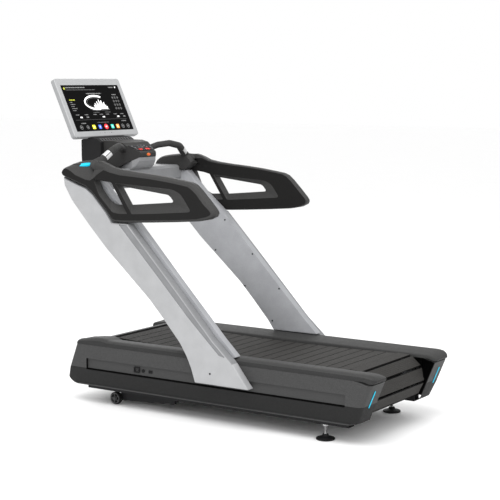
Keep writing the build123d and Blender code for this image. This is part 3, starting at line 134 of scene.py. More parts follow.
# near-black plastic for the dark fittings, screws and feet; also used as painted shade on the inside of the side covers
M_BLACK_AND_SHADE = mat("black_plastic", (0.006, 0.006, 0.0065), 0.6, grain=0.2, bump=0.3, spec=0.18)
M_HUB = mat("wheel_hub", (0.035, 0.035, 0.036), 0.5, grain=0.15, spec=0.3)
M_PANEL = mat("panel_black", (0.006, 0.006, 0.007), 0.5, grain=0.1, spec=0.12)
M_KEY_LIGHT_DARK = mat("grille_plate", (0.085, 0.085, 0.087), 0.55, grain=0.15, spec=0.25)
M_WHEEL_RING = mat("wheel_ring", (0.09, 0.09, 0.092), 0.5, grain=0.12, spec=0.3)
M_GLOSS = mat("gloss_black", (0.002, 0.002, 0.0024), 0.35, vary=0.2, rvar=0.03, spec=0.08)
M_DISPLAY = mat("display_black", (0.0008, 0.0008, 0.0009), 0.4, vary=0.3, rvar=0.02, spec=0.04)
M_PAINT = mat("black_powder_coat", (0.012, 0.012, 0.013), 0.6, grain=0.2, bump=0.4, bscale=1500, spec=0.2)
M_ZINC = mat("zinc_steel", (0.5, 0.5, 0.5), 0.35, metal=0.9, vary=0.06, scale=120, bump=0.1)
M_CAST = mat("cast_housing", (0.05, 0.05, 0.052), 0.6, metal=0.4, bump=0.5, bscale=500, spec=0.25)
M_ALLOY = mat("alloy", (0.35, 0.36, 0.37), 0.42, metal=0.8, vary=0.06, scale=90, bump=0.15)
M_RUBBER = mat("rubber", (0.01, 0.01, 0.01), 0.75, grain=0.15, bump=0.4, spec=0.15)
M_MOTOR = mat("motor_paint", (0.03, 0.031, 0.034), 0.45, metal=0.2, bump=0.2, spec=0.3)
M_SCREEN = mat("screen_frame", (0.38, 0.385, 0.39), 0.5, metal=0.05, vary=0.03, scale=40, grain=0.04, bump=0.05, spec=0.25)
M_SCREEN_SIDE = mat("screen_side", (0.3, 0.305, 0.31), 0.55, metal=0.05, vary=0.04, scale=40, grain=0.04, bump=0.05, spec=0.2)
M_CONSOLE = mat("console_plastic", (0.028, 0.0275, 0.027), 0.6, grain=0.2, bump=0.3, spec=0.2)
M_NECK = mat("neck_plastic", (0.012, 0.012, 0.0125), 0.62, grain=0.2, bump=0.3, spec=0.15)
M_BELLY = mat("silver_belly", (0.25, 0.253, 0.26), 0.5, metal=0.1, vary=0.06, scale=14, grain=0.07, gscale=500, bump=0.1,
              bscale=1500, spec=0.3)
M_LIGHT = mat("cyan_light", (0.0, 0.42, 0.6), 0.4, vary=0.04, scale=200, spec=0.2, glow=(0.0, 0.5, 0.72), glow_strength=0.4)
M_ORANGE = mat("stop_orange", (0.75, 0.1, 0.01), 0.35, vary=0.06, coat=0.2)
M_YELLOWRIM = mat("stop_rim", (0.5, 0.3, 0.03), 0.4, vary=0.06)


def ui(name, colour, strength=0.7):
    return mat("ui_" + name, colour, 0.4, vary=0.05, scale=300, glow=colour, glow_strength=strength)


U_WHITE = ui("white", (0.85, 0.85, 0.85), 0.8)
U_GREY = ui("grey", (0.2, 0.2, 0.2), 0.35)
U_DIM = ui("dim", (0.09, 0.09, 0.09), 0.2)
U_LIME = ui("lime", (0.42, 0.45, 0.03), 0.4)
U_YELLOW = ui("yellow", (0.9, 0.85, 0.02), 0.7)
U_BLUE = ui("blue", (0.04, 0.12, 0.65), 0.7)
U_RED = ui("red", (0.85, 0.02, 0.03), 0.8)
U_TEAL = ui("teal", (0.04, 0.55, 0.42), 0.7)
U_ORANGE = ui("orange", (0.9, 0.35, 0.06), 0.8)
U_LED = ui("led", (0.9, 0.02, 0.01), 1.2)

CAD_MATS = {
    "side_rails": M_PAINT, "cross_tubes": M_PAINT, "idler_brackets": M_PAINT, "pillow_blocks": M_CAST,
    "front_shaft": M_CAST, "rear_shaft": M_CAST, "front_pulleys": M_ALLOY, "rear_pulleys": M_ALLOY,
    "carrier_belts": M_RUBBER, "slat_beams": M_PAINT, "slat_treads": M_TREAD, "drive_motor": M_MOTOR,
    "motor_rotor_shaft": M_ZINC, "motor_pulley": M_ALLOY, "driven_pulley": M_ALLOY, "drive_belt": M_RUBBER,
    "motor_controller": M_ALLOY, "lift_frame": M_PAINT, "lift_pins": M_PAINT, "lift_actuator_body": M_MOTOR,
    "lift_actuator_rod": M_ZINC, "wheel_axles": M_HUB, "front_wheel_left": M_RUBBER, "front_wheel_right": M_RUBBER,
    "rear_foot_left": M_BLACK_AND_SHADE, "rear_foot_right": M_BLACK_AND_SHADE, "foot_lock_nuts": M_ZINC, "side_cover_left": M_COVER,
    "side_cover_right": M_COVER, "rail_cap_left": M_CAP, "rail_cap_right": M_CAP, "front_cover": M_COVER,
    "rear_lights": M_LIGHT, "power_inlet": M_BLACK_AND_SHADE, "breaker_button": M_BLACK_AND_SHADE, "rocker_switch": M_BLACK_AND_SHADE,
    "upright_outer_left": M_SILVER, "upright_outer_right": M_SILVER, "upright_inner_shells": M_SILVER_IN,
    "upright_posts": M_PAINT, "cross_beam": M_PAINT, "upright_screws": M_BLACK_AND_SHADE, "handrail_left": M_FOAM,
    "handrail_right": M_FOAM, "shoulder_inlays": M_LIGHT, "grip_bars": M_GRIP, "pulse_plates": M_PLATE,
    "console_body": M_CONSOLE, "console_panel": M_PANEL, "stop_button": M_ORANGE, "console_belly": M_BELLY,
    "screen_neck": M_NECK, "screen_shell": M_SCREEN_SIDE, "screen_bezel": M_SCREEN, "screen_glass": M_DISPLAY,
}
for i in range(1, 6):
    CAD_MATS["idler_%d" % i] = M_ZINC
for node, m in CAD_MATS.items():
    o = NODES[node]
    o.data.materials.clear()
    o.data.materials.append(m)


# ------------------------------------------------------------------ mesh building (mm in, metres out)
class Build:
    def __init__(self):
        self.v, self.f, self.m = [], [], []

    def ring(self, pts):
        i = len(self.v)
        self.v += [tuple(p) for p in pts]
        return list(range(i, i + len(pts)))

    def face(self, idx, m=0):
        self.f.append(tuple(idx))
        self.m.append(m)

    def strip(self, a, b, m=0, closed=True):
        n = len(a)
        for i in range(n if closed else n - 1):
            j = (i + 1) % n
            self.face((a[i], a[j], b[j], b[i]), m)

    def fill(self, rings, m=0):
        pts = [[Vector(self.v[i]) for i in r] for r in rings]
        flat = [i for r in rings for i in r]
        for tri in tessellate_polygon(pts):
            self.face([flat[i] for i in tri], m)

    def grid(self, rows, mats=None, closed=False):
        rings = [self.ring(r) for r in rows]
        for j in range(len(rings) - 1):
            self.strip(rings[j], rings[j + 1], mats[j] if mats else 0, closed)
        return rings

    def box(self, c, s, m=0, rot=None):
        x, y, z = c
        a, b, d = (v / 2 for v in s)
        pts = [Vector((i * a, j * b, k * d)) for k in (-1, 1) for i, j in ((-1, -1), (1, -1), (1, 1), (-1, 1))]
        if rot is not None:
            pts = [rot @ p for p in pts]
        q = self.ring([(p.x + x, p.y + y, p.z + z) for p in pts])
        for f in ((0, 3, 2, 1), (4, 5, 6, 7), (0, 1, 5, 4), (1, 2, 6, 5), (2, 3, 7, 6), (3, 0, 4, 7)):
            self.face([q[i] for i in f], m)

    def make(self, name, mats, sharp=32.0, mirror=False, merge=1e-5, station=True):
        me = bpy.data.meshes.new(name)
        dx = DX if station else 0.0
        sy = -1.0 if mirror else 1.0
        me.from_pydata([((x + dx) / 1000, sy * y / 1000, z / 1000) for x, y, z in self.v], [], self.f)
        for m in mats:
            me.materials.append(m)
        for p, m in zip(me.polygons, self.m):
            p.material_index = m
        bm = bmesh.new()
        bm.from_mesh(me)
        bmesh.ops.remove_doubles(bm, verts=bm.verts, dist=merge)
        bmesh.ops.dissolve_degenerate(bm, edges=bm.edges, dist=1e-6)
        bmesh.ops.recalc_face_normals(bm, faces=bm.faces)
        lim = math.radians(sharp)
        for f in bm.faces:
            f.smooth = True
        for e in bm.edges:
            if len(e.link_faces) == 2 and (e.calc_face_angle(0.0) > lim
                                           or e.link_faces[0].material_index != e.link_faces[1].material_index):
                e.smooth = False
        bm.to_mesh(me)
        bm.free()
        o = bpy.data.objects.new(name, me)
        bpy.context.scene.collection.objects.link(o)
        return o


def area(p):
    return sum(p[i][0] * p[(i + 1) % len(p)][1] - p[(i + 1) % len(p)][0] * p[i][1] for i in range(len(p))) / 2


def rounded(pts, radius=12.0, seg=5):
    """closed outline with each corner turned into an arc; a point may carry its own radius as a third value"""
    pts = list(pts)
    if area([p[:2] for p in pts]) < 0:
        pts = pts[::-1]
    out = []
    n = len(pts)
    for i, p in enumerate(pts):
        r = p[2] if len(p) > 2 else radius
        P = Vector(p[:2])
        A, B = Vector(pts[i - 1][:2]), Vector(pts[(i + 1) % n][:2])
        da, db = (A - P), (B - P)
        la, lb = da.length, db.length
        da.normalize()
        db.normalize()
        ang = da.angle(db)
        if r <= 0 or ang > math.radians(178.5):
            out.append((P.x, P.y))
            continue
        t = min(r / math.tan(ang / 2), 0.48 * la, 0.48 * lb)
        a, b = P + da * t, P + db * t
        turn = math.pi - ang
        k = max(2, min(10, int(seg * turn / (math.pi / 2)) + 2))
        for j in range(k + 1):
            s = j / k
            q = a * (1 - s) ** 2 + P * 2 * s * (1 - s) + b * s * s
            out.append((q.x, q.y))
    return out


def inset(pts, d):
    """outline moved inwards by d (outwards if negative)"""
    if abs(d) < 1e-9:
        return list(pts)
    n = len(pts)
    out = []
    for i in range(n):
        P = Vector(pts[i])
        a = (P - Vector(pts[i - 1]))
        b = (Vector(pts[(i + 1) % n]) - P)
        if a.length < 1e-9 or b.length < 1e-9:
            out.append(tuple(P))
            continue
        a.normalize()
        b.normalize()
        na, nb = Vector((-a.y, a.x)), Vector((-b.y, b.x))
        m = na + nb
        m.normalize()
        c = max(0.5, m.dot(na))
        out.append(tuple(P + m * (d / c)))
    return out


def plate(name, outer, secs, holes=(), hsecs=None, mats=(), cap0=0, cap1=0, place=None, mirror=False, sharp=32.0):
    """a plate drawn in the x-z plane. secs: (inset, y, material of the strip that starts here); holes the same"""
    b = Build()
    place = place or (lambda x, y, z: (x, y, z))
    rings = [b.ring([place(x, y, z) for x, z in inset(outer, d)]) for d, y, _ in secs]
    for j in range(len(rings) - 1):
        b.strip(rings[j], rings[j + 1], secs[j][2])
    first, last = [rings[0]], [rings[-1]]
    for h in holes:
        hs = hsecs or secs
        hr = [b.ring([place(x, y, z) for x, z in inset(h, -d)]) for d, y, _ in hs]
        for j in range(len(hr) - 1):
            b.strip(hr[j], hr[j + 1], hs[j][2])
        first.append(hr[0])
        last.append(hr[-1])
    b.fill(first, cap0)
    b.fill(last, cap1)
    return b.make(name, mats, sharp=sharp, mirror=mirror)


def tube(b, path, radii, seg=20, m=0, squash=1.0, caps=True):
    """round tube along a path of (x, y, z) with a radius at each point"""
    pts = [Vector(p) for p in path]
    n = len(pts)
    rings = []
    up = Vector((0, 0, 1))
    for i, p in enumerate(pts):
        t = (pts[min(i + 1, n - 1)] - pts[max(i - 1, 0)]).normalized()
        side = t.cross(up).normalized()
        u = side.cross(t).normalized()
        r = radii[i] if isinstance(radii, (list, tuple)) else radii
        rings.append(b.ring([p + side * (r * math.cos(2 * math.pi * k / seg)) + u * (r * squash * math.sin(2 * math.pi * k / seg))
                             for k in range(seg)]))
    for i in range(n - 1):
        b.strip(rings[i], rings[i + 1], m)
    if caps:
        b.face(rings[0], m)
        b.face(rings[-1], m)
    return rings


def smooth_path(pts, values=None, steps=6):
    """Catmull-Rom points through pts, with values carried along"""
    P = [Vector(p) for p in pts]
    out, vals = [], []
    n = len(P)
    for i in range(n - 1):
        p0, p1, p2, p3 = P[max(i - 1, 0)], P[i], P[i + 1], P[min(i + 2, n - 1)]
        for j in range(steps):
            t = j / steps
            out.append(0.5 * ((2 * p1) + (p2 - p0) * t + (2 * p0 - 5 * p1 + 4 * p2 - p3) * t * t
                              + (3 * p1 - p0 - 3 * p2 + p3) * t ** 3))
            if values:
                vals.append(values[i] * (1 - t) + values[i + 1] * t)
    out.append(P[-1])
    if values:
        vals.append(values[-1])
        return out, vals
    return out


def lathe(b, prof, centre, axis, seg=32, mats=None, full=True):
    """profile of (along, radius) turned about an axis through centre"""
    c, a = Vector(centre), Vector(axis).normalized()
    u = a.orthogonal().normalized()
    w = a.cross(u)
    rings = []
    for s, r in prof:
        if r < 1e-6:
            rings.append(b.ring([c + a * s]))
        else:
            rings.append(b.ring([c + a * s + u * (r * math.cos(2 * math.pi * k / seg)) + w * (r * math.sin(2 * math.pi * k / seg))
                                 for k in range(seg)]))
    for i in range(len(rings) - 1):
        p, q, m = rings[i], rings[i + 1], (mats[i] if mats else 0)
        if len(p) == 1 and len(q) == 1:
            continue
        if len(p) == 1:
            for k in range(seg):
                b.face((p[0], q[k], q[(k + 1) % seg]), m)
        elif len(q) == 1:
            for k in range(seg):
                b.face((q[0], p[k], p[(k + 1) % seg]), m)
        else:
            b.strip(p, q, m)
    return rings


def stand_in(o, body, *nodes, slot=None):
    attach(o, body)
    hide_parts(*nodes)
    return o


def lerp(a, b, t):
    return a + (b - a) * t


def table(rows, v):
    """value of a piecewise-linear table at v"""
    if v <= rows[0][0]:
        return rows[0][1]
    for (a, p), (c, q) in zip(rows, rows[1:]):
        if v <= c:
            return p + (q - p) * (v - a) / (c - a)
    return rows[-1][1]


def corner_arcs(pts, radii, k=4):
    """closed outline with k+1 points round every corner, so two outlines with the same corners match point by point"""
    out = []
    n = len(pts)
    for i, p in enumerate(pts):
        P, A, B = Vector(p), Vector(pts[i - 1]), Vector(pts[(i + 1) % n])
        r = radii[i] if isinstance(radii, (list, tuple)) else radii
        da, db = A - P, B - P
        la, lb = da.length, db.length
        da.normalize()
        db.normalize()
        t = min(r, 0.46 * la, 0.46 * lb)
        a, c = P + da * t, P + db * t
        for j in range(k + 1):
            s = j / k
            out.append(tuple(a * (1 - s) ** 2 + P * (2 * s * (1 - s)) + c * (s * s)))
    return out


# ------------------------------------------------------------------ side covers
XF = [(98, -764), (106, -794), (118, -808), (132, -815), (319, -744)]
XR = [(98, 925), (108, 958), (302, 1038.5), (305.5, 1028), (315.5, 988), (319, 975)]
COVER_ROWS = [(98, 0, 387.5), (103, 0, 389), (105, 0, 385.4), (108, 0, 386.2), (118, 0, 388.6), (132, 0, 392), (160, 0, 398.6),
              (180, 0, 403.4), (185, 0, 404.4), (187, 0, 405), (187.4, 15, 405), (194, 15, 405), (194.4, 11, 405),
              (245, 11, 405), (247, 0, 405), (290, 0, 405), (302, 0, 405), (305.5, 0, 405), (315.5, 0, 405), (319, 0, 404)]


def side_cover(name, left):
    b = Build()
    xs = [-674, -672, -365, -232, 900, 902]

    def path(z, depth, ymax, wall):
        xf, xr, ym = table(XF, z) + wall, table(XR, z) - wall, ymax - wall
        rf, rr = 16.0, 30.0
        pts = [(xf, 263.0), (xf, ym - rf)]
        for a in (22, 45, 68):
            a = math.radians(a)
            pts.append((xf + rf * (1 - math.cos(a)), ym - rf + rf * math.sin(a)))
        pts.append((xf + rf, ym))
        for x in xs:
            pts.append((x, ym - (depth if -672 <= x <= 900 else 0)))
        pts.append((xr - rr, ym))
        for a in (68, 45, 22):
            a = math.radians(a)
            pts.append((xr - rr + rr * math.cos(a), ym - rr + rr * math.sin(a)))
        pts += [(xr, ym - rr), (xr, 263.0)]
        return [(x, y, z) for x, y in pts]

    outer = [b.ring(path(z, d, y, 0.0)) for z, d, y in COVER_ROWS]
    inner = [b.ring(path(z, 15.0 if 186 <= z <= 248 else 0.0, y, 3.5)) for z, d, y in COVER_ROWS]
    n = len(outer[0])
    for j in range(len(COVER_ROWS) - 1):
        z0, z1 = COVER_ROWS[j][0], COVER_ROWS[j + 1][0]
        for i in range(n - 1):
            # the slot floor (slot) and the recess front wall (i == 6) are painted near-black as painted shade
            slot = 7 <= i < 10
            if z1 <= 105:
                m = 0
            # the lower band below the slot gets the painted-shade copy of the cover plastic
            elif z1 <= 187:
                m = 1
            elif z1 <= 194.4:
                m = 2 if slot or i == 6 else 1
            elif z1 <= 247:
                m = 2 if i == 6 and z1 <= 245 else 0
            else:
                m = 0
            b.face((outer[j][i], outer[j][i + 1], outer[j + 1][i + 1], outer[j + 1][i]), m)
        # the inside of the shell gets the near-black plastic as painted shade
        for i in range(n - 1):
            b.face((inner[j][i + 1], inner[j][i], inner[j + 1][i], inner[j + 1][i + 1]), 3)
        b.face((outer[j][0], outer[j + 1][0], inner[j + 1][0], inner[j][0]), 0)
        b.face((outer[j][-1], inner[j][-1], inner[j + 1][-1], outer[j + 1][-1]), 0)
    for j in (0, len(COVER_ROWS) - 1):
        for i in range(n - 1):
            b.face((outer[j][i], outer[j][i + 1], inner[j][i + 1], inner[j][i]), 0)
    o = b.make(name, [M_COVER, M_COVER_LOW_SHADE, M_GROOVE_SHADE, M_BLACK_AND_SHADE], sharp=28, mirror=left)
    return stand_in(o, "frame", "side_cover_left" if left else "side_cover_right", slot="cover_plastic")


side_cover("cover_left_shell", True)
side_cover("cover_right_shell", False)


# ------------------------------------------------------------------ rail caps
TOE = [(-746, 321), (-745.4, 326), (-743, 333), (-738, 339), (-730, 342.6), (-715, 345.4), (-700, 347.4), (-675, 352),
       (-650, 356), (-615, 359.5), (-585, 360), (-560, 357), (-540, 351), (985, 351), (1010, 349.5), (1026, 347), (1040, 341),
       (1048, 334), (1052, 327)]
Y_OUT = [(-746, 392), (-743, 398), (-738, 402), (-730, 404.4), (-722, 405), (1002, 405), (1018, 403), (1030, 399), (1040, 393),
         (1047, 384), (1052, 368)]
FLOOR = [(-746, 319.5), (1000, 319.5), (1030, 309.5), (1045, 309.5), (1052, 317)]
CAP_SEC = [(262, 319), (262, 331), (264.5, 334.8), (270, 337.4), (330, 346.6), (362, 350.2), (375, 351), (386, 349.4),
           (395, 345), (401, 339.5), (404.2, 333), (405, 326), (405, 319)]


def rail_cap(name, left):
    b = Build()
    xs = [-746, -745.4, -743, -741, -738, -734, -730, -722, -715, -700, -675, -650, -615, -585, -560, -548, -540, -520, 0, 500, 985, 1003, 1018,
          1026, 1034, 1040, 1045, 1048, 1050.6, 1052]
    rings = []
    for x in xs:
        top, yo, fl = table(TOE, x), table(Y_OUT, x), table(FLOOR, x)
        yi = 262 if x < 1040 else lerp(262, 276, (x - 1040) / 12)
        pts = []
        for y, z in CAP_SEC:
            yy = yi + (y - 262) * (yo - yi) / 143
            zz = fl + (z - 319) * (top - fl) / 32
            if x < -540 and 264 < y < 330:      # the raised toe is flatter on its inner side
                w = min(1.0, (-540 - x) / 30)
                zz = lerp(zz, fl + (z + 7 - 319) * (top - fl) / 32, w * (330 - y) / 66)
            pts.append((x, yy, zz))
        rings.append(b.ring(pts))
    for j in range(len(rings) - 1):
        n = len(rings[j])
        for i in range(n):
            k = (i + 1) % n
            # the outer side (from i == 9) and the rear end face get the darker copy of the cap plastic as painted shade
            m = 1 if i >= 9 else 0
            b.face((rings[j][i], rings[j][k], rings[j + 1][k], rings[j + 1][i]), m)
    b.face(rings[0], 0)
    b.face(rings[-1], 1)
    o = b.make(name, [M_CAP, M_CAP_SIDE_SHADE], sharp=40, mirror=left)
    return stand_in(o, "frame", "rail_cap_left" if left else "rail_cap_right", slot="cap_plastic")


rail_cap("cap_left_skin", True)
rail_cap("cap_right_skin", False)


# ------------------------------------------------------------------ slat treads with grip ribs
def belt_path():
    p1, p2, r, sag, count = (-575.0, 227.0), (866.0, 219.0), 103.0, 14.0, 52
    half = math.hypot(p2[0] - p1[0], p2[1] - p1[1]) / 2
    ux, uz = (p2[0] - p1[0]) / (2 * half), (p2[1] - p1[1]) / (2 * half)
    nx, nz = -uz, ux
    mid = ((p1[0] + p2[0]) / 2, (p1[1] + p2[1]) / 2)
    rs = half * half / (2 * sag)
    big = rs - r
    h = math.sqrt(rs * rs - half * half)
    sc = (mid[0] + nx * h, mid[1] + nz * h)
    a2 = math.atan2(sc[1] - p2[1], sc[0] - p2[0])
    a1 = math.atan2(sc[1] - p1[1], sc[0] - p1[0])
    ab = math.atan2(-nz, -nx)
    sw2, sw1 = a2 - ab, ab + 2 * math.pi - a1
    loop = r * (sw1 + sw2) + 2 * half + big * 2 * math.atan2(half, h)
    pitch = loop / count

    def at(s):
        s = s % loop
        l2 = r * sw2
        if s < l2:
            a = a2 - s / r
            return p2[0] + r * math.cos(a), p2[1] + r * math.sin(a), a
        s -= l2
        if s < 2 * half:
            return p2[0] - nx * r - ux * s, p2[1] - nz * r - uz * s, ab
        s -= 2 * half
        l1 = r * sw1
        if s < l1:
            a = ab - s / r
            return p1[0] + r * math.cos(a), p1[1] + r * math.sin(a), a
        s -= l1
        t = math.atan2(p1[1] - sc[1], p1[0] - sc[0]) + s / big
        return sc[0] + big * math.cos(t), sc[1] + big * math.sin(t), t + math.pi

    phase = r * (a2 - math.radians(87.0))
    return [at(phase + i * pitch) for i in range(count)]


def treads():
    b = Build()
    half, low, high = 33.6, 8.07, 12.06
    sec = [(-half, low), (-half, high - 3.0), (-half + 2.8, high)]
    for k in range(6):
        c = -half + 9.6 + k * 9.6
        sec += [(c - 1.5, high), (c - 0.9, high - 0.8), (c + 0.9, high - 0.8), (c + 1.5, high)]
    sec += [(half - 2.8, high), (half, high - 3.0), (half, low)]
    # the low side faces of each slat get the near-black gap material as painted shade
    mats = [1 if min(sec[i][1], sec[(i + 1) % len(sec)][1]) < high - 2 else 0 for i in range(len(sec))]
    for x, z, a in belt_path():
        ox, oz, tx, tz = math.cos(a), math.sin(a), math.sin(a), -math.cos(a)
        rings = [b.ring([(x + ox * h + tx * t, y, z + oz * h + tz * t) for t, h in sec]) for y in (-247, 247)]
        for i in range(len(sec)):
            k = (i + 1) % len(sec)
            b.face((rings[0][i], rings[0][k], rings[1][k], rings[1][i]), mats[i])
        b.fill([rings[0]], 0)
        b.fill([rings[1]], 0)
    o = b.make("tread_bars", [M_TREAD, M_TREAD_GAP_SHADE], sharp=25)
    return stand_in(o, "frame", "slat_treads", slot="tread_rubber")


treads()


# ------------------------------------------------------------------ uprights
F_LINE = [(-775, 1206, 0), (-770, 1163, 30), (-722, 1087, 120), (-602, 958, 300), (-484, 840, 300), (-213, 604, 160),
          (-131, 519, 160), (-26, 403, 150)]
UP_OUTER = F_LINE + [(17, 336, 60), (42, 283, 60), (66, 212, 4), (390, 212, 6), (374, 231, 14), (288, 339, 120), (179, 434, 90),
                     (-90, 716, 0), (-349, 981.5, 0), (-453, 981.5, 0), (-492, 1034, 30), (-544, 1086, 50), (-583, 1125, 40),
                     (-623, 1152, 40), (-690, 1173, 60), (-750, 1194, 0)]
UP_STRIP = [(-412, 978, 0), (-358, 978, 0), (-96, 711, 0), (171, 431, 60), (255, 355, 4), (214, 362, 14), (203, 372, 10),
            (27, 534, 60), (-148, 712, 0)]


def upright(name, left):
    b = Build()
    line = rounded(UP_OUTER, 0, 6)
    secs = [(0.8, 405.2, 0), (0, 406.2, 0), (0, 443.0, 0), (1.3, 447.0, 0), (4.2, 450.0, 0)]
    rings = [b.ring([(x, y, z) for x, z in inset(line, d)]) for d, y, _ in secs]
    flip = 1 if area(line) > 0 else -1
    for j in range(len(rings) - 1):
        for i in range(len(line)):
            k = (i + 1) % len(line)
            nx, nz = (line[k][1] - line[i][1]) * flip, -(line[k][0] - line[i][0]) * flip
            # faces whose normals point backwards and up get the darker silver as painted shade
            rear = nx > 0 and nz > 0 and line[i][1] > 330
            b.face((rings[j][i], rings[j][k], rings[j + 1][k], rings[j + 1][i]), 1 if rear else 0)
    b.fill([rings[0]], 0)
    strip_line = rounded(UP_STRIP, 0, 5)
    h0 = b.ring([(x, 450.0, z) for x, z in strip_line])
    h1 = b.ring([(x, 449.0, z) for x, z in inset(strip_line, 1.2)])
    h2 = b.ring([(x, 446.5, z) for x, z in inset(strip_line, 2.0)])
    b.fill([rings[-1], h0], 0)
    b.strip(h0, h1, 0)
    # the wall and floor of the recessed strip get the darker silver as painted shade
    b.strip(h1, h2, 1)
    b.fill([h2], 1)
    o = b.make(name, [M_SILVER, M_SILVER_SHADE], sharp=24, mirror=left)
    return stand_in(o, "frame", "upright_outer_left" if left else "upright_outer_right", slot="silver_paint")


UP_INNER = F_LINE + [(10, 353.5, 6), (290, 353.5, 6), (201, 438, 90), (-68, 716, 0), (-325, 985, 60), (-420, 1064, 40),
                     (-462, 1098, 20), (-565, 1202, 6), (-569, 1206, 0)]


def inner_shells():
    objs = []
    for left in (True, False):
        line = rounded(UP_INNER, 0, 6)
        objs.append(plate("upright_inner_" + ("left" if left else "right"), line,
                          [(5.0, 361.0, 0), (1.4, 362.6, 0), (0.0, 366.0, 0), (0.0, 402.5, 0), (0.8, 404.4, 0)],
                          mats=[M_SILVER_IN], mirror=left, sharp=24))
    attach(objs[0], "frame")
    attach(objs[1], "frame")
    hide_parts("upright_inner_shells")


inner_shells()
upright("upright_left_skin", True)
upright("upright_right_skin", False)

# ------------------------------------------------------------------ handrails
# bar points: silhouette (x, z) and edge of the dark band (x, z); shoulder points: crest (x, z) and crease (x, z)
RAIL_SHOULDER = [((-781, 1246), (-776, 1240)), ((-772, 1262), (-765, 1250)), ((-752, 1276), (-745, 1250)),
                 ((-726, 1284), (-716, 1236)), ((-680, 1291), (-688, 1219)), ((-640, 1295), (-652, 1207)),
                 ((-606, 1297), (-618, 1197)), ((-580, 1297.5), (-590, 1194))]
RAIL_BAR = [((-548, 1296), (-560, 1212)), ((-528, 1293), (-544, 1226)), ((-493, 1282), (-499, 1252)),
            ((-454, 1266), (-456, 1240)), ((-389, 1255), (-390, 1229)), ((-300, 1246), (-300, 1224)),
            ((-197, 1238), (-198, 1217)), ((-100, 1228), (-100, 1207)), ((-20, 1217), (-22, 1197)), ((38, 1208), (33, 1188)),
            ((66, 1197), (56, 1176)), ((98, 1170), (84, 1154)), ((144, 1124), (126, 1108)), ((182, 1084), (164, 1076)),
            ((192, 1070), (171, 1066)), ((193, 1060), (171, 1060)), ((186, 1047), (165, 1053)), ((152, 1031), (142, 1044)),
            ((90, 1019), (86, 1031)), ((-43, 1008), (-43, 1020)), ((-199, 997), (-199, 1010)), ((-300, 991), (-300, 1003)),
            ((-380, 987.5), (-380, 999)), ((-430, 987), (-422, 999)), ((-446, 989), (-436, 1001)),
            ((-456, 994), (-446, 1006)), ((-490, 1039), (-480, 1047)), ((-543, 1091), (-534, 1099)),
            ((-582, 1130), (-575, 1139)), ((-622, 1157), (-617, 1167)), ((-689, 1178), (-686, 1189)),
            ((-750, 1199), (-748, 1209)), ((-776, 1209), (-771, 1216)), ((-784, 1216), (-778, 1221)),
            ((-786, 1228), (-781, 1230))]
W_REAR = [(-414, 1172), (-112, 1140), (-98, 1133), (-72, 1104), (-210, 1091), (-350, 1078)]
W_REAR_OUT = [(-427, 1191), (-60, 1173), (-8, 1152), (58, 1063), (-199, 1041), (-319, 1033)]
W_FRONT = [(-569, 1212), (-444, 1182), (-370, 1079), (-442, 1075), (-481, 1095), (-537, 1155)]
W_FRONT_OUT = [(-570, 1203), (-450, 1195), (-344, 1033), (-404, 1031), (-444, 1036), (-535, 1124)]
GRIP = [(-500, 437, 1256), (-552, 432, 1268), (-603, 404, 1270), (-586, 362, 1294), (-570, 290, 1346), (-588, 222, 1362), (-622, 160, 1354), (-652, 100, 1332)]


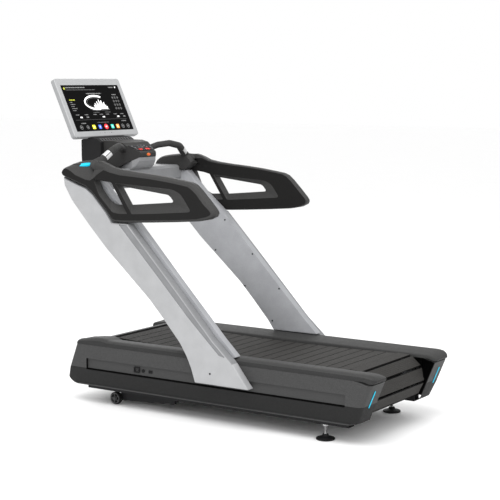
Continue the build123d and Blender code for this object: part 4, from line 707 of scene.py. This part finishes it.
def handrail(name, left):
    b = Build()

    def level(kind, y, inn=0.0):
        pts = []
        for (kx, kz), (px, pz) in RAIL_SHOULDER:
            t = max(0.0, (456.0 - y) / 84.0)
            pts.append((lerp(px, kx, t), y, lerp(pz, kz, t) + 5.0 * math.sin(math.pi * min(1, t))))
        for (sx, sz), (px, pz) in RAIL_BAR:
            w = {"p": 1.0, "m": 0.42, "s": 0.0, "i": 0.3}[kind]
            pts.append((lerp(sx, px, w), y, lerp(sz, pz, w)))
        return pts

    levels = [level("i", 404.0), level("s", 409.5), level("s", 436.0), level("m", 449.5), level("p", 455.4)]
    rings = [b.ring(p) for p in levels]
    n = len(rings[0])
    for j in range(len(rings) - 1):
        for i in range(n):
            k = (i + 1) % n
            b.face((rings[j][i], rings[j][k], rings[j + 1][k], rings[j + 1][i]), 0)
    edge = [(x, z) for x, _, z in levels[-1]]
    sign = 1.2 if area(edge) > 0 else -1.2
    lip = b.ring([(x, 457.0, z) for x, z in inset(edge, sign)])
    b.strip(rings[-1], lip, 1)
    rad_in, rad_out = [14, 12, 10, 22, 40, 14], [10, 30, 30, 26, 40, 10]
    fr_in, fr_out = [10, 10, 14, 10, 14, 14], [6, 10, 8, 10, 14, 16]
    holes_out, holes_in = [], []
    for hi, ho, ri, ro in ((W_REAR, W_REAR_OUT, rad_in, rad_out), (W_FRONT, W_FRONT_OUT, fr_in, fr_out)):
        a = b.ring([(x, 457.0, z) for x, z in corner_arcs(ho, ro)])
        oo = corner_arcs(ho, ro)
        s = 1.0 if area(oo) > 0 else -1.0
        a2 = b.ring([(x, 455.2, z) for x, z in inset(oo, 1.5 * s)])
        ii = corner_arcs(hi, ri)
        c = b.ring([(x, 424.0, z) for x, z in ii])
        d = b.ring([(x, 419.0, z) for x, z in ii])
        e = b.ring([(lerp(p[0], q[0], 0.7), 404.0, lerp(p[1], q[1], 0.7)) for p, q in zip(ii, oo)])
        b.strip(a, a2, 1)
        b.strip(a2, c, 0)
        b.strip(c, d, 0)
        b.strip(d, e, 0)
        holes_out.append(a)
        holes_in.append(e)
    b.fill([lip] + holes_out, 1)
    b.fill([rings[0]] + holes_in, 1)
    # shoulder over the upright, inside the plate
    def zc(i, y):
        (kx, kz), (px, pz) = shoulder[i]
        if y >= 372:
            t = (456.0 - y) / 84.0
            return lerp(px, kx, t), lerp(pz, kz, t) + 5.0 * math.sin(math.pi * t)
        u = (372 - y) / 26.0
        return kx, kz - 9.0 * u * u
    shoulder = RAIL_SHOULDER + [((-562, 1290), (-569, 1212)), ((-545, 1276), (-553, 1224)), ((-531, 1258), (-540, 1232))]
    ys = [404, 396, 388, 380, 372, 366, 360, 354, 349, 346.5]
    cols = []
    for i in range(len(shoulder)):
        cols.append([(zc(i, y)[0], y, zc(i, y)[1]) for y in ys])
    low = [1212, 1207.5, 1207.5, 1207.5, 1207.5, 1207.5, 1207.5, 1207.5, 1222, 1232, 1244]
    rr = []
    for i, c in enumerate(cols):
        x = c[-1][0]
        rr.append(b.ring(c + [(x, 346, c[-1][2] - 4), (x, 346, low[i]), (x, 404, low[i])]))
    for i in range(len(rr) - 1):
        b.strip(rr[i], rr[i + 1], 0)
    b.fill([rr[0]], 0)
    b.fill([rr[-1]], 0)
    o = b.make(name, [M_FOAM, M_FOAM_DARK], sharp=30, mirror=left)
    return stand_in(o, "frame", "handrail_left" if left else "handrail_right", slot="rail_foam")


handrail("handrail_left_skin", True)
handrail("handrail_right_skin", False)


def grips():
    objs = []
    for left in (True, False):
        b = Build()
        pts, rad = [], []
        base = [17.0, 26.0, 27.5, 21.0, 18.6, 17.6, 17.2, 17.0]
        n = len(GRIP)
        P = [Vector(p) for p in GRIP]
        pts.append(P[0])
        rad.append(base[0])
        for i in range(1, n - 1):
            da, db = (P[i - 1] - P[i]), (P[i + 1] - P[i])
            la, lb = da.length, db.length
            da.normalize()
            db.normalize()
            t = min(40 * math.tan((math.pi - da.angle(db)) / 2), 0.45 * la, 0.45 * lb)
            a, c = P[i] + da * t, P[i] + db * t
            for j in range(7):
                s = j / 6
                pts.append(a * (1 - s) ** 2 + P[i] * (2 * s * (1 - s)) + c * (s * s))
                rad.append(base[i])
        pts.append(P[-1])
        rad.append(base[-1])
        for _ in range(3):
            rad = [rad[0]] + [(rad[k - 1] + 2 * rad[k] + rad[k + 1]) / 4 for k in range(1, len(rad) - 1)] + [rad[-1]]
        tube(b, pts, rad, seg=24, m=0)
        g0, g1 = P[3], P[4]
        axis = (g1 - g0).normalized()
        side = axis.cross(Vector((0, 0, 1))).normalized()
        up = side.cross(axis).normalized()
        for a0 in (-58, 14, 86, 158):
            shells = []
            for dist, dr in ((20, -2.0), (20, 1.2), (62, 1.2), (62, -2.0)):
                c = g0 + axis * dist
                r0 = 20.4 + dr - dist * 0.02
                shells.append(b.ring([c + side * (r0 * math.cos(math.radians(a0 + k * 10))) + up * (r0 * math.sin(math.radians(
                    a0 + k * 10))) for k in range(7)]))
            for k in range(4):
                b.strip(shells[k], shells[(k + 1) % 4], 1, closed=False)
            b.face([q[0] for q in shells], 1)
            b.face([q[-1] for q in shells], 1)
        objs.append(b.make("grip_" + ("left" if left else "right"), [M_GRIP, M_PLATE], mirror=left, sharp=40))
    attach(objs[0], "frame")
    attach(objs[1], "frame")
    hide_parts("grip_bars", "pulse_plates")


grips()

# ------------------------------------------------------------------ screen picture
T = math.atan2(145.0, 304.0)
S_O, S_N, S_U = Vector((-913.5, 0, 1555)), Vector((math.cos(T), 0, math.sin(T))), Vector((-math.sin(T), 0, math.cos(T)))
GW, GH = 483.0, 273.0


def on_screen(u, v, off=0.0):
    """point on the glass: u from the left, v from the top"""
    p = S_O + S_U * (1 + GH * (0.5 - v)) + S_N * (1.02 + off)
    return Vector((p.x, -GW / 2 + GW * u, p.z))


class Picture(Build):
    def slab(self, pts, m, t=0.35, off=0.0):
        a = self.ring([on_screen(u, v, off) for u, v in pts])
        c = self.ring([on_screen(u, v, off + t) for u, v in pts])
        self.strip(a, c, m)
        self.fill([a], m)
        self.fill([c], m)

    def bar(self, u0, u1, v, h, m, off=0.0):
        self.slab([(u0, v - h / 2), (u1, v - h / 2), (u1, v + h / 2), (u0, v + h / 2)], m, off=off)

    def text(self, u0, u1, v, h, m):
        """a run of short blocks that stands for a line of lettering"""
        u, k = u0, 0
        widths = (0.009, 0.006, 0.011, 0.007, 0.008, 0.012, 0.006)
        while u < u1:
            w = min(widths[k % 7], u1 - u)
            self.bar(u, u + w, v, h, m)
            u += w + (0.0025 if k % 4 else 0.007)
            k += 1

    def disc(self, u, v, r, m, hole=0.0, off=0.0, seg=24):
        def pts(q):
            return [(u + q / GW * math.cos(2 * math.pi * k / seg), v + q / GH * math.sin(2 * math.pi * k / seg))
                    for k in range(seg)]
        if not hole:
            self.slab(pts(r), m, off=off)
            return
        a, c = self.ring([on_screen(*p, off) for p in pts(r)]), self.ring([on_screen(*p, off) for p in pts(hole)])
        e, g = self.ring([on_screen(*p, off + .35) for p in pts(r)]), self.ring([on_screen(*p, off + .35) for p in pts(hole)])
        self.strip(a, e, m)
        self.strip(c, g, m)
        self.strip(a, c, m)
        self.strip(e, g, m)

    def arc(self, u, v, au, av, width, a0, a1, m, n=40):
        inner, outer = [], []
        for k in range(n + 1):
            a = math.radians(a0 + (a1 - a0) * k / n)
            for lst, d in ((outer, width / 2), (inner, -width / 2)):
                lst.append((u + (au + d / GW) * math.cos(a), v - (av + d / GH) * math.sin(a)))
        self.slab(outer + inner[::-1], m)

    def tile(self, u, v, s, m, r=4.0):
        pts = []
        for cx, cy, a0 in ((1, 1, 0), (-1, 1, 90), (-1, -1, 180), (1, -1, 270)):
            for a in (0, 30, 60, 90):
                t = math.radians(a0 + a)
                pts.append((u + (cx * (s / 2 - r) + r * math.cos(t)) / GW, v + (cy * (s / 2 - r) + r * math.sin(t)) / GH))
        self.slab(pts, m)


def picture():
    p = Picture()
    W, G, D, L, Y, B, R, TE, O = range(9)
    p.tile(0.045, 0.07, 12, L, 2.5)
    p.text(0.065, 0.40, 0.05, 0.022, G)
    p.text(0.065, 0.57, 0.10, 0.014, D)
    p.text(0.82, 0.90, 0.05, 0.022, G)
    p.disc(0.94, 0.05, 4.5, W)
    p.text(0.39, 0.65, 0.185, 0.022, G)
    # gauge open to the right
    p.arc(0.50, 0.383, 0.185, 0.145, 11, 52, 285, W)
    p.arc(0.50, 0.383, 0.150, 0.105, 3, 60, 270, D)
    for k, h in enumerate((0.09, 0.13, 0.10, 0.17, 0.12, 0.21, 0.16, 0.19, 0.12, 0.15, 0.09, 0.06)):
        u = 0.455 + k * 0.0195
        p.slab([(u, 0.53 - h), (u + 0.0135, 0.53 - h), (u + 0.0135, 0.53), (u, 0.53)], W)
    p.bar(0.40, 0.70, 0.548, 0.008, G)
    p.text(0.40, 0.50, 0.60, 0.016, D)
    p.text(0.60, 0.70, 0.60, 0.016, D)
    # list on the left
    p.text(0.06, 0.155, 0.32, 0.024, L)
    for k in range(5):
        p.text(0.06, 0.10 + 0.012 * ((k * 3) % 5), 0.37 + 0.045 * k, 0.014, G)
    # keypad
    for v in (0.28, 0.36, 0.44, 0.52):
        for u in (0.83, 0.873, 0.916):
            p.disc(u, v, 6.6, G, hole=5.4)
            p.bar(u - 0.003, u + 0.003, v, 0.018, G)
    p.text(0.835, 0.91, 0.215, 0.02, G)
    for u in (0.11, 0.26, 0.41, 0.52, 0.63, 0.77, 0.89):
        p.text(u - 0.028, u + 0.028, 0.645, 0.016, G)
    for u in (0.16, 0.27, 0.55, 0.81, 0.92):
        p.text(u - 0.018, u + 0.018, 0.70, 0.03, G if u in (0.27, 0.92) else W)
    p.bar(0.05, 0.95, 0.755, 0.004, D)
    p.text(0.12, 0.20, 0.83, 0.02, G)
    p.text(0.84, 0.92, 0.80, 0.02, G)
    p.text(0.40, 0.60, 0.82, 0.016, D)
    for u, r, m in ((0.10, 12, G), (0.21, 11, G), (0.83, 12, G), (0.925, 12, G)):
        p.disc(u, 0.915, r, m, hole=r - 2.2)
        p.disc(u, 0.915, r * 0.38, m)
    p.disc(0.53, 0.915, 15.5, R)
    p.bar(0.517, 0.543, 0.915, 0.028, W, off=0.36)
    for u, m in ((0.315, Y), (0.42, B), (0.64, TE), (0.735, O)):
        p.tile(u, 0.915, 24, m)
        p.disc(u, 0.915, 5.0, W, hole=3.4, off=0.36)
    o = p.make("screen_picture", [U_WHITE, U_GREY, U_DIM, U_LIME, U_YELLOW, U_BLUE, U_RED, U_TEAL, U_ORANGE], sharp=20)
    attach(o, "frame")
    # touch keys on the lower frame
    k = Picture()
    for j, (u, m) in enumerate(((0.38, 0), (0.42, 0), (0.46, 1), (0.50, 0), (0.54, 0), (0.58, 1), (0.62, 0))):
        k.disc(u, 1.05, 2.4, m, off=1.0)
    q = k.make("frame_marks", [M_SCREEN_SIDE, M_BLACK_AND_SHADE], sharp=20)
    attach(q, "frame")


picture()

# ------------------------------------------------------------------ console keys and figures
PA = math.atan2(32.0, 60.0)
C_O = Vector((-604, 0, 1344))
C_N = Vector((math.sin(PA), 0, math.cos(PA)))
C_D = Vector((math.cos(PA), 0, -math.sin(PA)))     # towards the user
SEG = {"0": "abcdef", "1": "bc", "2": "abged", "3": "abgcd", "4": "fgbc", "5": "afgcd", "6": "afgedc", "7": "abc",
       "8": "abcdefg", "9": "abcfgd"}


def console():
    b = Build()

    def pt(y, d, off):
        p = C_O + C_D * d + C_N * (2.5 + off)
        return (p.x, y, p.z)

    def slab(pts, m, t, off=0.02):
        a = b.ring([pt(y, d, off) for y, d in pts])
        c = b.ring([pt(y, d, off + t) for y, d in pts])
        b.strip(a, c, m)
        b.fill([a], m)
        b.fill([c], m)

    def key(y, d, w, h, m, t=1.3):
        r = 2.0
        pts = []
        for cx, cy, a0 in ((1, 1, 0), (-1, 1, 90), (-1, -1, 180), (1, -1, 270)):
            for a in (0, 45, 90):
                q = math.radians(a0 + a)
                pts.append((y + cx * (w / 2 - r) + r * math.cos(q), d + cy * (h / 2 - r) + r * math.sin(q)))
        slab(pts, m, t)

    # two windows with figures
    for y0, text in ((-38, "128"), (26, "096")):
        slab([(y0 - 20, 7), (y0 + 22, 7), (y0 + 22, 26), (y0 - 20, 26)], 3, 0.5)
        for k, ch in enumerate(text):
            cx = y0 - 11 + k * 12
            for s in SEG[ch]:
                w, h = 7.0, 12.0
                cy = 16.5
                g = {"a": (0, -h / 2, 1), "g": (0, 0, 1), "d": (0, h / 2, 1), "f": (-w / 2, -h / 4, 0), "b": (w / 2, -h / 4, 0),
                     "e": (-w / 2, h / 4, 0), "c": (w / 2, h / 4, 0)}[s]
                hw, hh = (w / 2 - .5, .75) if g[2] else (.75, h / 4 - .5)
                x0, z0 = cx + g[0], cy + g[1]
                slab([(x0 - hw, z0 - hh), (x0 + hw, z0 - hh), (x0 + hw, z0 + hh), (x0 - hw, z0 + hh)], 1, 0.25, off=0.55)
    # rows of flat keys
    for i, y in enumerate((-74, -58, -42, -26, 26, 42, 58, 74)):
        key(y, -4, 11, 7, 2 if i % 2 else 0)
    for i, y in enumerate((-70, -52, -34, 34, 52, 70)):
        key(y, -18, 11, 7, 2 if i % 3 == 0 else 0)
    for y, d in ((-66, 12), (-64, 20), (66, 12), (64, 20), (-14, -24), (14, -24)):
        key(y, d, 6, 5, 2, 0.6)
    key(0, -14, 16, 9, 0)
    key(0, -3, 26, 6, 4)
    o = b.make("console_keys", [M_KEY, U_LED, M_KEY_LIGHT, M_DISPLAY, M_KEY_LIGHT], sharp=25)
    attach(o, "frame")
    # rim round the stop button
    c = Build()
    n = 28
    rings = []
    for x, a, h in ((-562.2, 15.6, 8.9), (-560.2, 15.2, 8.5), (-560.2, 13.6, 7.2), (-562.2, 13.6, 7.2)):
        rings.append(c.ring([(x, a * math.cos(2 * math.pi * k / n), 1310.5 + h * math.sin(2 * math.pi * k / n))
                             for k in range(n)]))
    for j in range(4):
        c.strip(rings[j], rings[(j + 1) % 4], 0)
    r = c.make("stop_rim", [M_YELLOWRIM], sharp=30)
    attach(r, "frame")


console()


# ------------------------------------------------------------------ levelling feet
def foot(name, left):
    b = Build()
    prof = [(0.2, 0), (0.2, 43.5), (1.6, 45.6), (3, 46), (7, 46), (9.4, 43.6), (12, 36), (15, 25), (18, 17.5), (25, 15.4),
            (27.5, 13.6), (28, 8), (30, 8), (31, 7.2)]
    mats = [0] * 11 + [1, 1, 1]
    z = 31.0
    while z < 146:
        prof += [(z + 1.1, 8.0), (z + 2.2, 7.2)]
        mats += [1, 1]
        z += 2.2
    prof += [(150, 6.5), (150, 0)]
    mats += [1, 1]
    lathe(b, prof, (758, 336, 0), (0, 0, 1), seg=40, mats=mats)
    o = b.make(name, [M_BLACK_AND_SHADE, M_ZINC], sharp=35, mirror=left)
    return stand_in(o, "foot_left" if left else "foot_right", "rear_foot_left" if left else "rear_foot_right")


foot("foot_left_pad", True)
foot("foot_right_pad", False)


# ------------------------------------------------------------------ grille on the neck, rings on the wheels
def grille():
    b = Build()
    g = math.atan2(18.0, 30.0)
    rot = Matrix.Rotation(g, 3, "Y")
    n = Vector((math.sin(g), 0, math.cos(g)))
    c = Vector((-787, 0, 1386)) + n * 1.4
    b.box(tuple(c), (24, 256, 3.0), 0, rot)
    # the slots are raised near-black slabs: painted shade standing for the openings
    for k in range(11):
        y = -115 + 23 * k
        q = c + n * 1.4
        b.box((q.x, y, q.z), (18, 11, 0.8), 1, rot)
    o = b.make("neck_grille", [M_KEY_LIGHT_DARK, M_GROOVE_SHADE], sharp=25)
    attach(o, "frame")


grille()


def wheel_ring(name, left):
    b = Build()
    lathe(b, [(333.2, 28.6), (335.5, 28.2), (335.5, 25.4), (333.2, 25.0), (333.2, 28.6)], (-540, 0, 33), (0, 1, 0), seg=36)
    lathe(b, [(331.5, 11.8), (334.2, 11.2), (334.2, 8.4), (331.5, 8.0), (331.5, 11.8)], (-540, 0, 33), (0, 1, 0), seg=24)
    for k in range(5):
        a = 2 * math.pi * (k + 0.5) / 5
        p = (-540 + 18.3 * math.cos(a), 331.9, 33 + 18.3 * math.sin(a))
        b.box(p, (12, 2.4, 3.0), 0, Matrix.Rotation(-a, 3, "Y"))
    o = b.make(name, [M_WHEEL_RING], sharp=30, mirror=left)
    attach(o, "wheel_left" if left else "wheel_right")


wheel_ring("wheel_rings_left", True)
wheel_ring("wheel_rings_right", False)

# ------------------------------------------------------------------ floor, light and camera
def studio():
    me = bpy.data.meshes.new("floor")
    s = 40.0
    me.from_pydata([(-s, -s, 0), (s, -s, 0), (s, s, 0), (-s, s, 0)], [], [(0, 1, 2, 3)])
    fl = bpy.data.objects.new("floor", me)
    bpy.context.scene.collection.objects.link(fl)
    me.materials.append(mat("floor_white", (0.99, 0.99, 0.99), 0.9, vary=0.004, scale=2.0, spec=0.05))
    fl.location.z = -0.0005
    w = bpy.data.worlds.new("studio")
    bpy.context.scene.world = w
    w.use_nodes = True
    t = w.node_tree
    t.nodes.clear()
    bg = t.nodes.new("ShaderNodeBackground")
    bg.inputs["Color"].default_value = (1, 1, 1, 1)
    bg.inputs["Strength"].default_value = 1.0
    o = t.nodes.new("ShaderNodeOutputWorld")
    t.links.new(bg.outputs[0], o.inputs[0])

    def lamp(name, loc, size, power, target=(0, 0, 0.7), colour=(1, 1, 1)):
        ld = bpy.data.lights.new(name, "AREA")
        ld.shape = "RECTANGLE"
        ld.size, ld.size_y = size
        ld.energy = power
        ld.color = colour
        lo = bpy.data.objects.new(name, ld)
        lo.location = loc
        lo.rotation_mode = "QUATERNION"
        lo.rotation_quaternion = (Vector(target) - Vector(loc)).to_track_quat("-Z", "Y")
        bpy.context.scene.collection.objects.link(lo)

    lamp("key", (1.0, -2.5, 5.0), (4.0, 4.0), 170)
    lamp("fill", (4.5, -5.0, 2.2), (3.0, 3.0), 60)
    lamp("rim", (-4.0, 4.0, 3.5), (3.0, 3.0), 60)


studio()

CAM_X = 4.1017 + DX / 1000
cd = bpy.data.cameras.new("camera")
cam = bpy.data.objects.new("camera", cd)
bpy.context.scene.collection.objects.link(cam)
cd.lens, cd.sensor_width, cd.sensor_fit = 100.8, 36.0, "HORIZONTAL"
cd.dof.use_dof = False
cd.clip_start, cd.clip_end = 0.1, 200
Rv, Uv, Fv = (0.83100635, 0.55626293, 0.0), (-0.06722562, 0.10042898, 0.99267051), (-0.5521858, 0.8249155, -0.12085224)
cam.matrix_world = Matrix(((Rv[0], Uv[0], -Fv[0], CAM_X), (Rv[1], Uv[1], -Fv[1], -5.9812), (Rv[2], Uv[2], -Fv[2], 1.7108),
                           (0, 0, 0, 1)))
bpy.context.scene.camera = cam
vs = bpy.context.scene.view_settings
vs.view_transform = "Standard"
vs.look = "None"
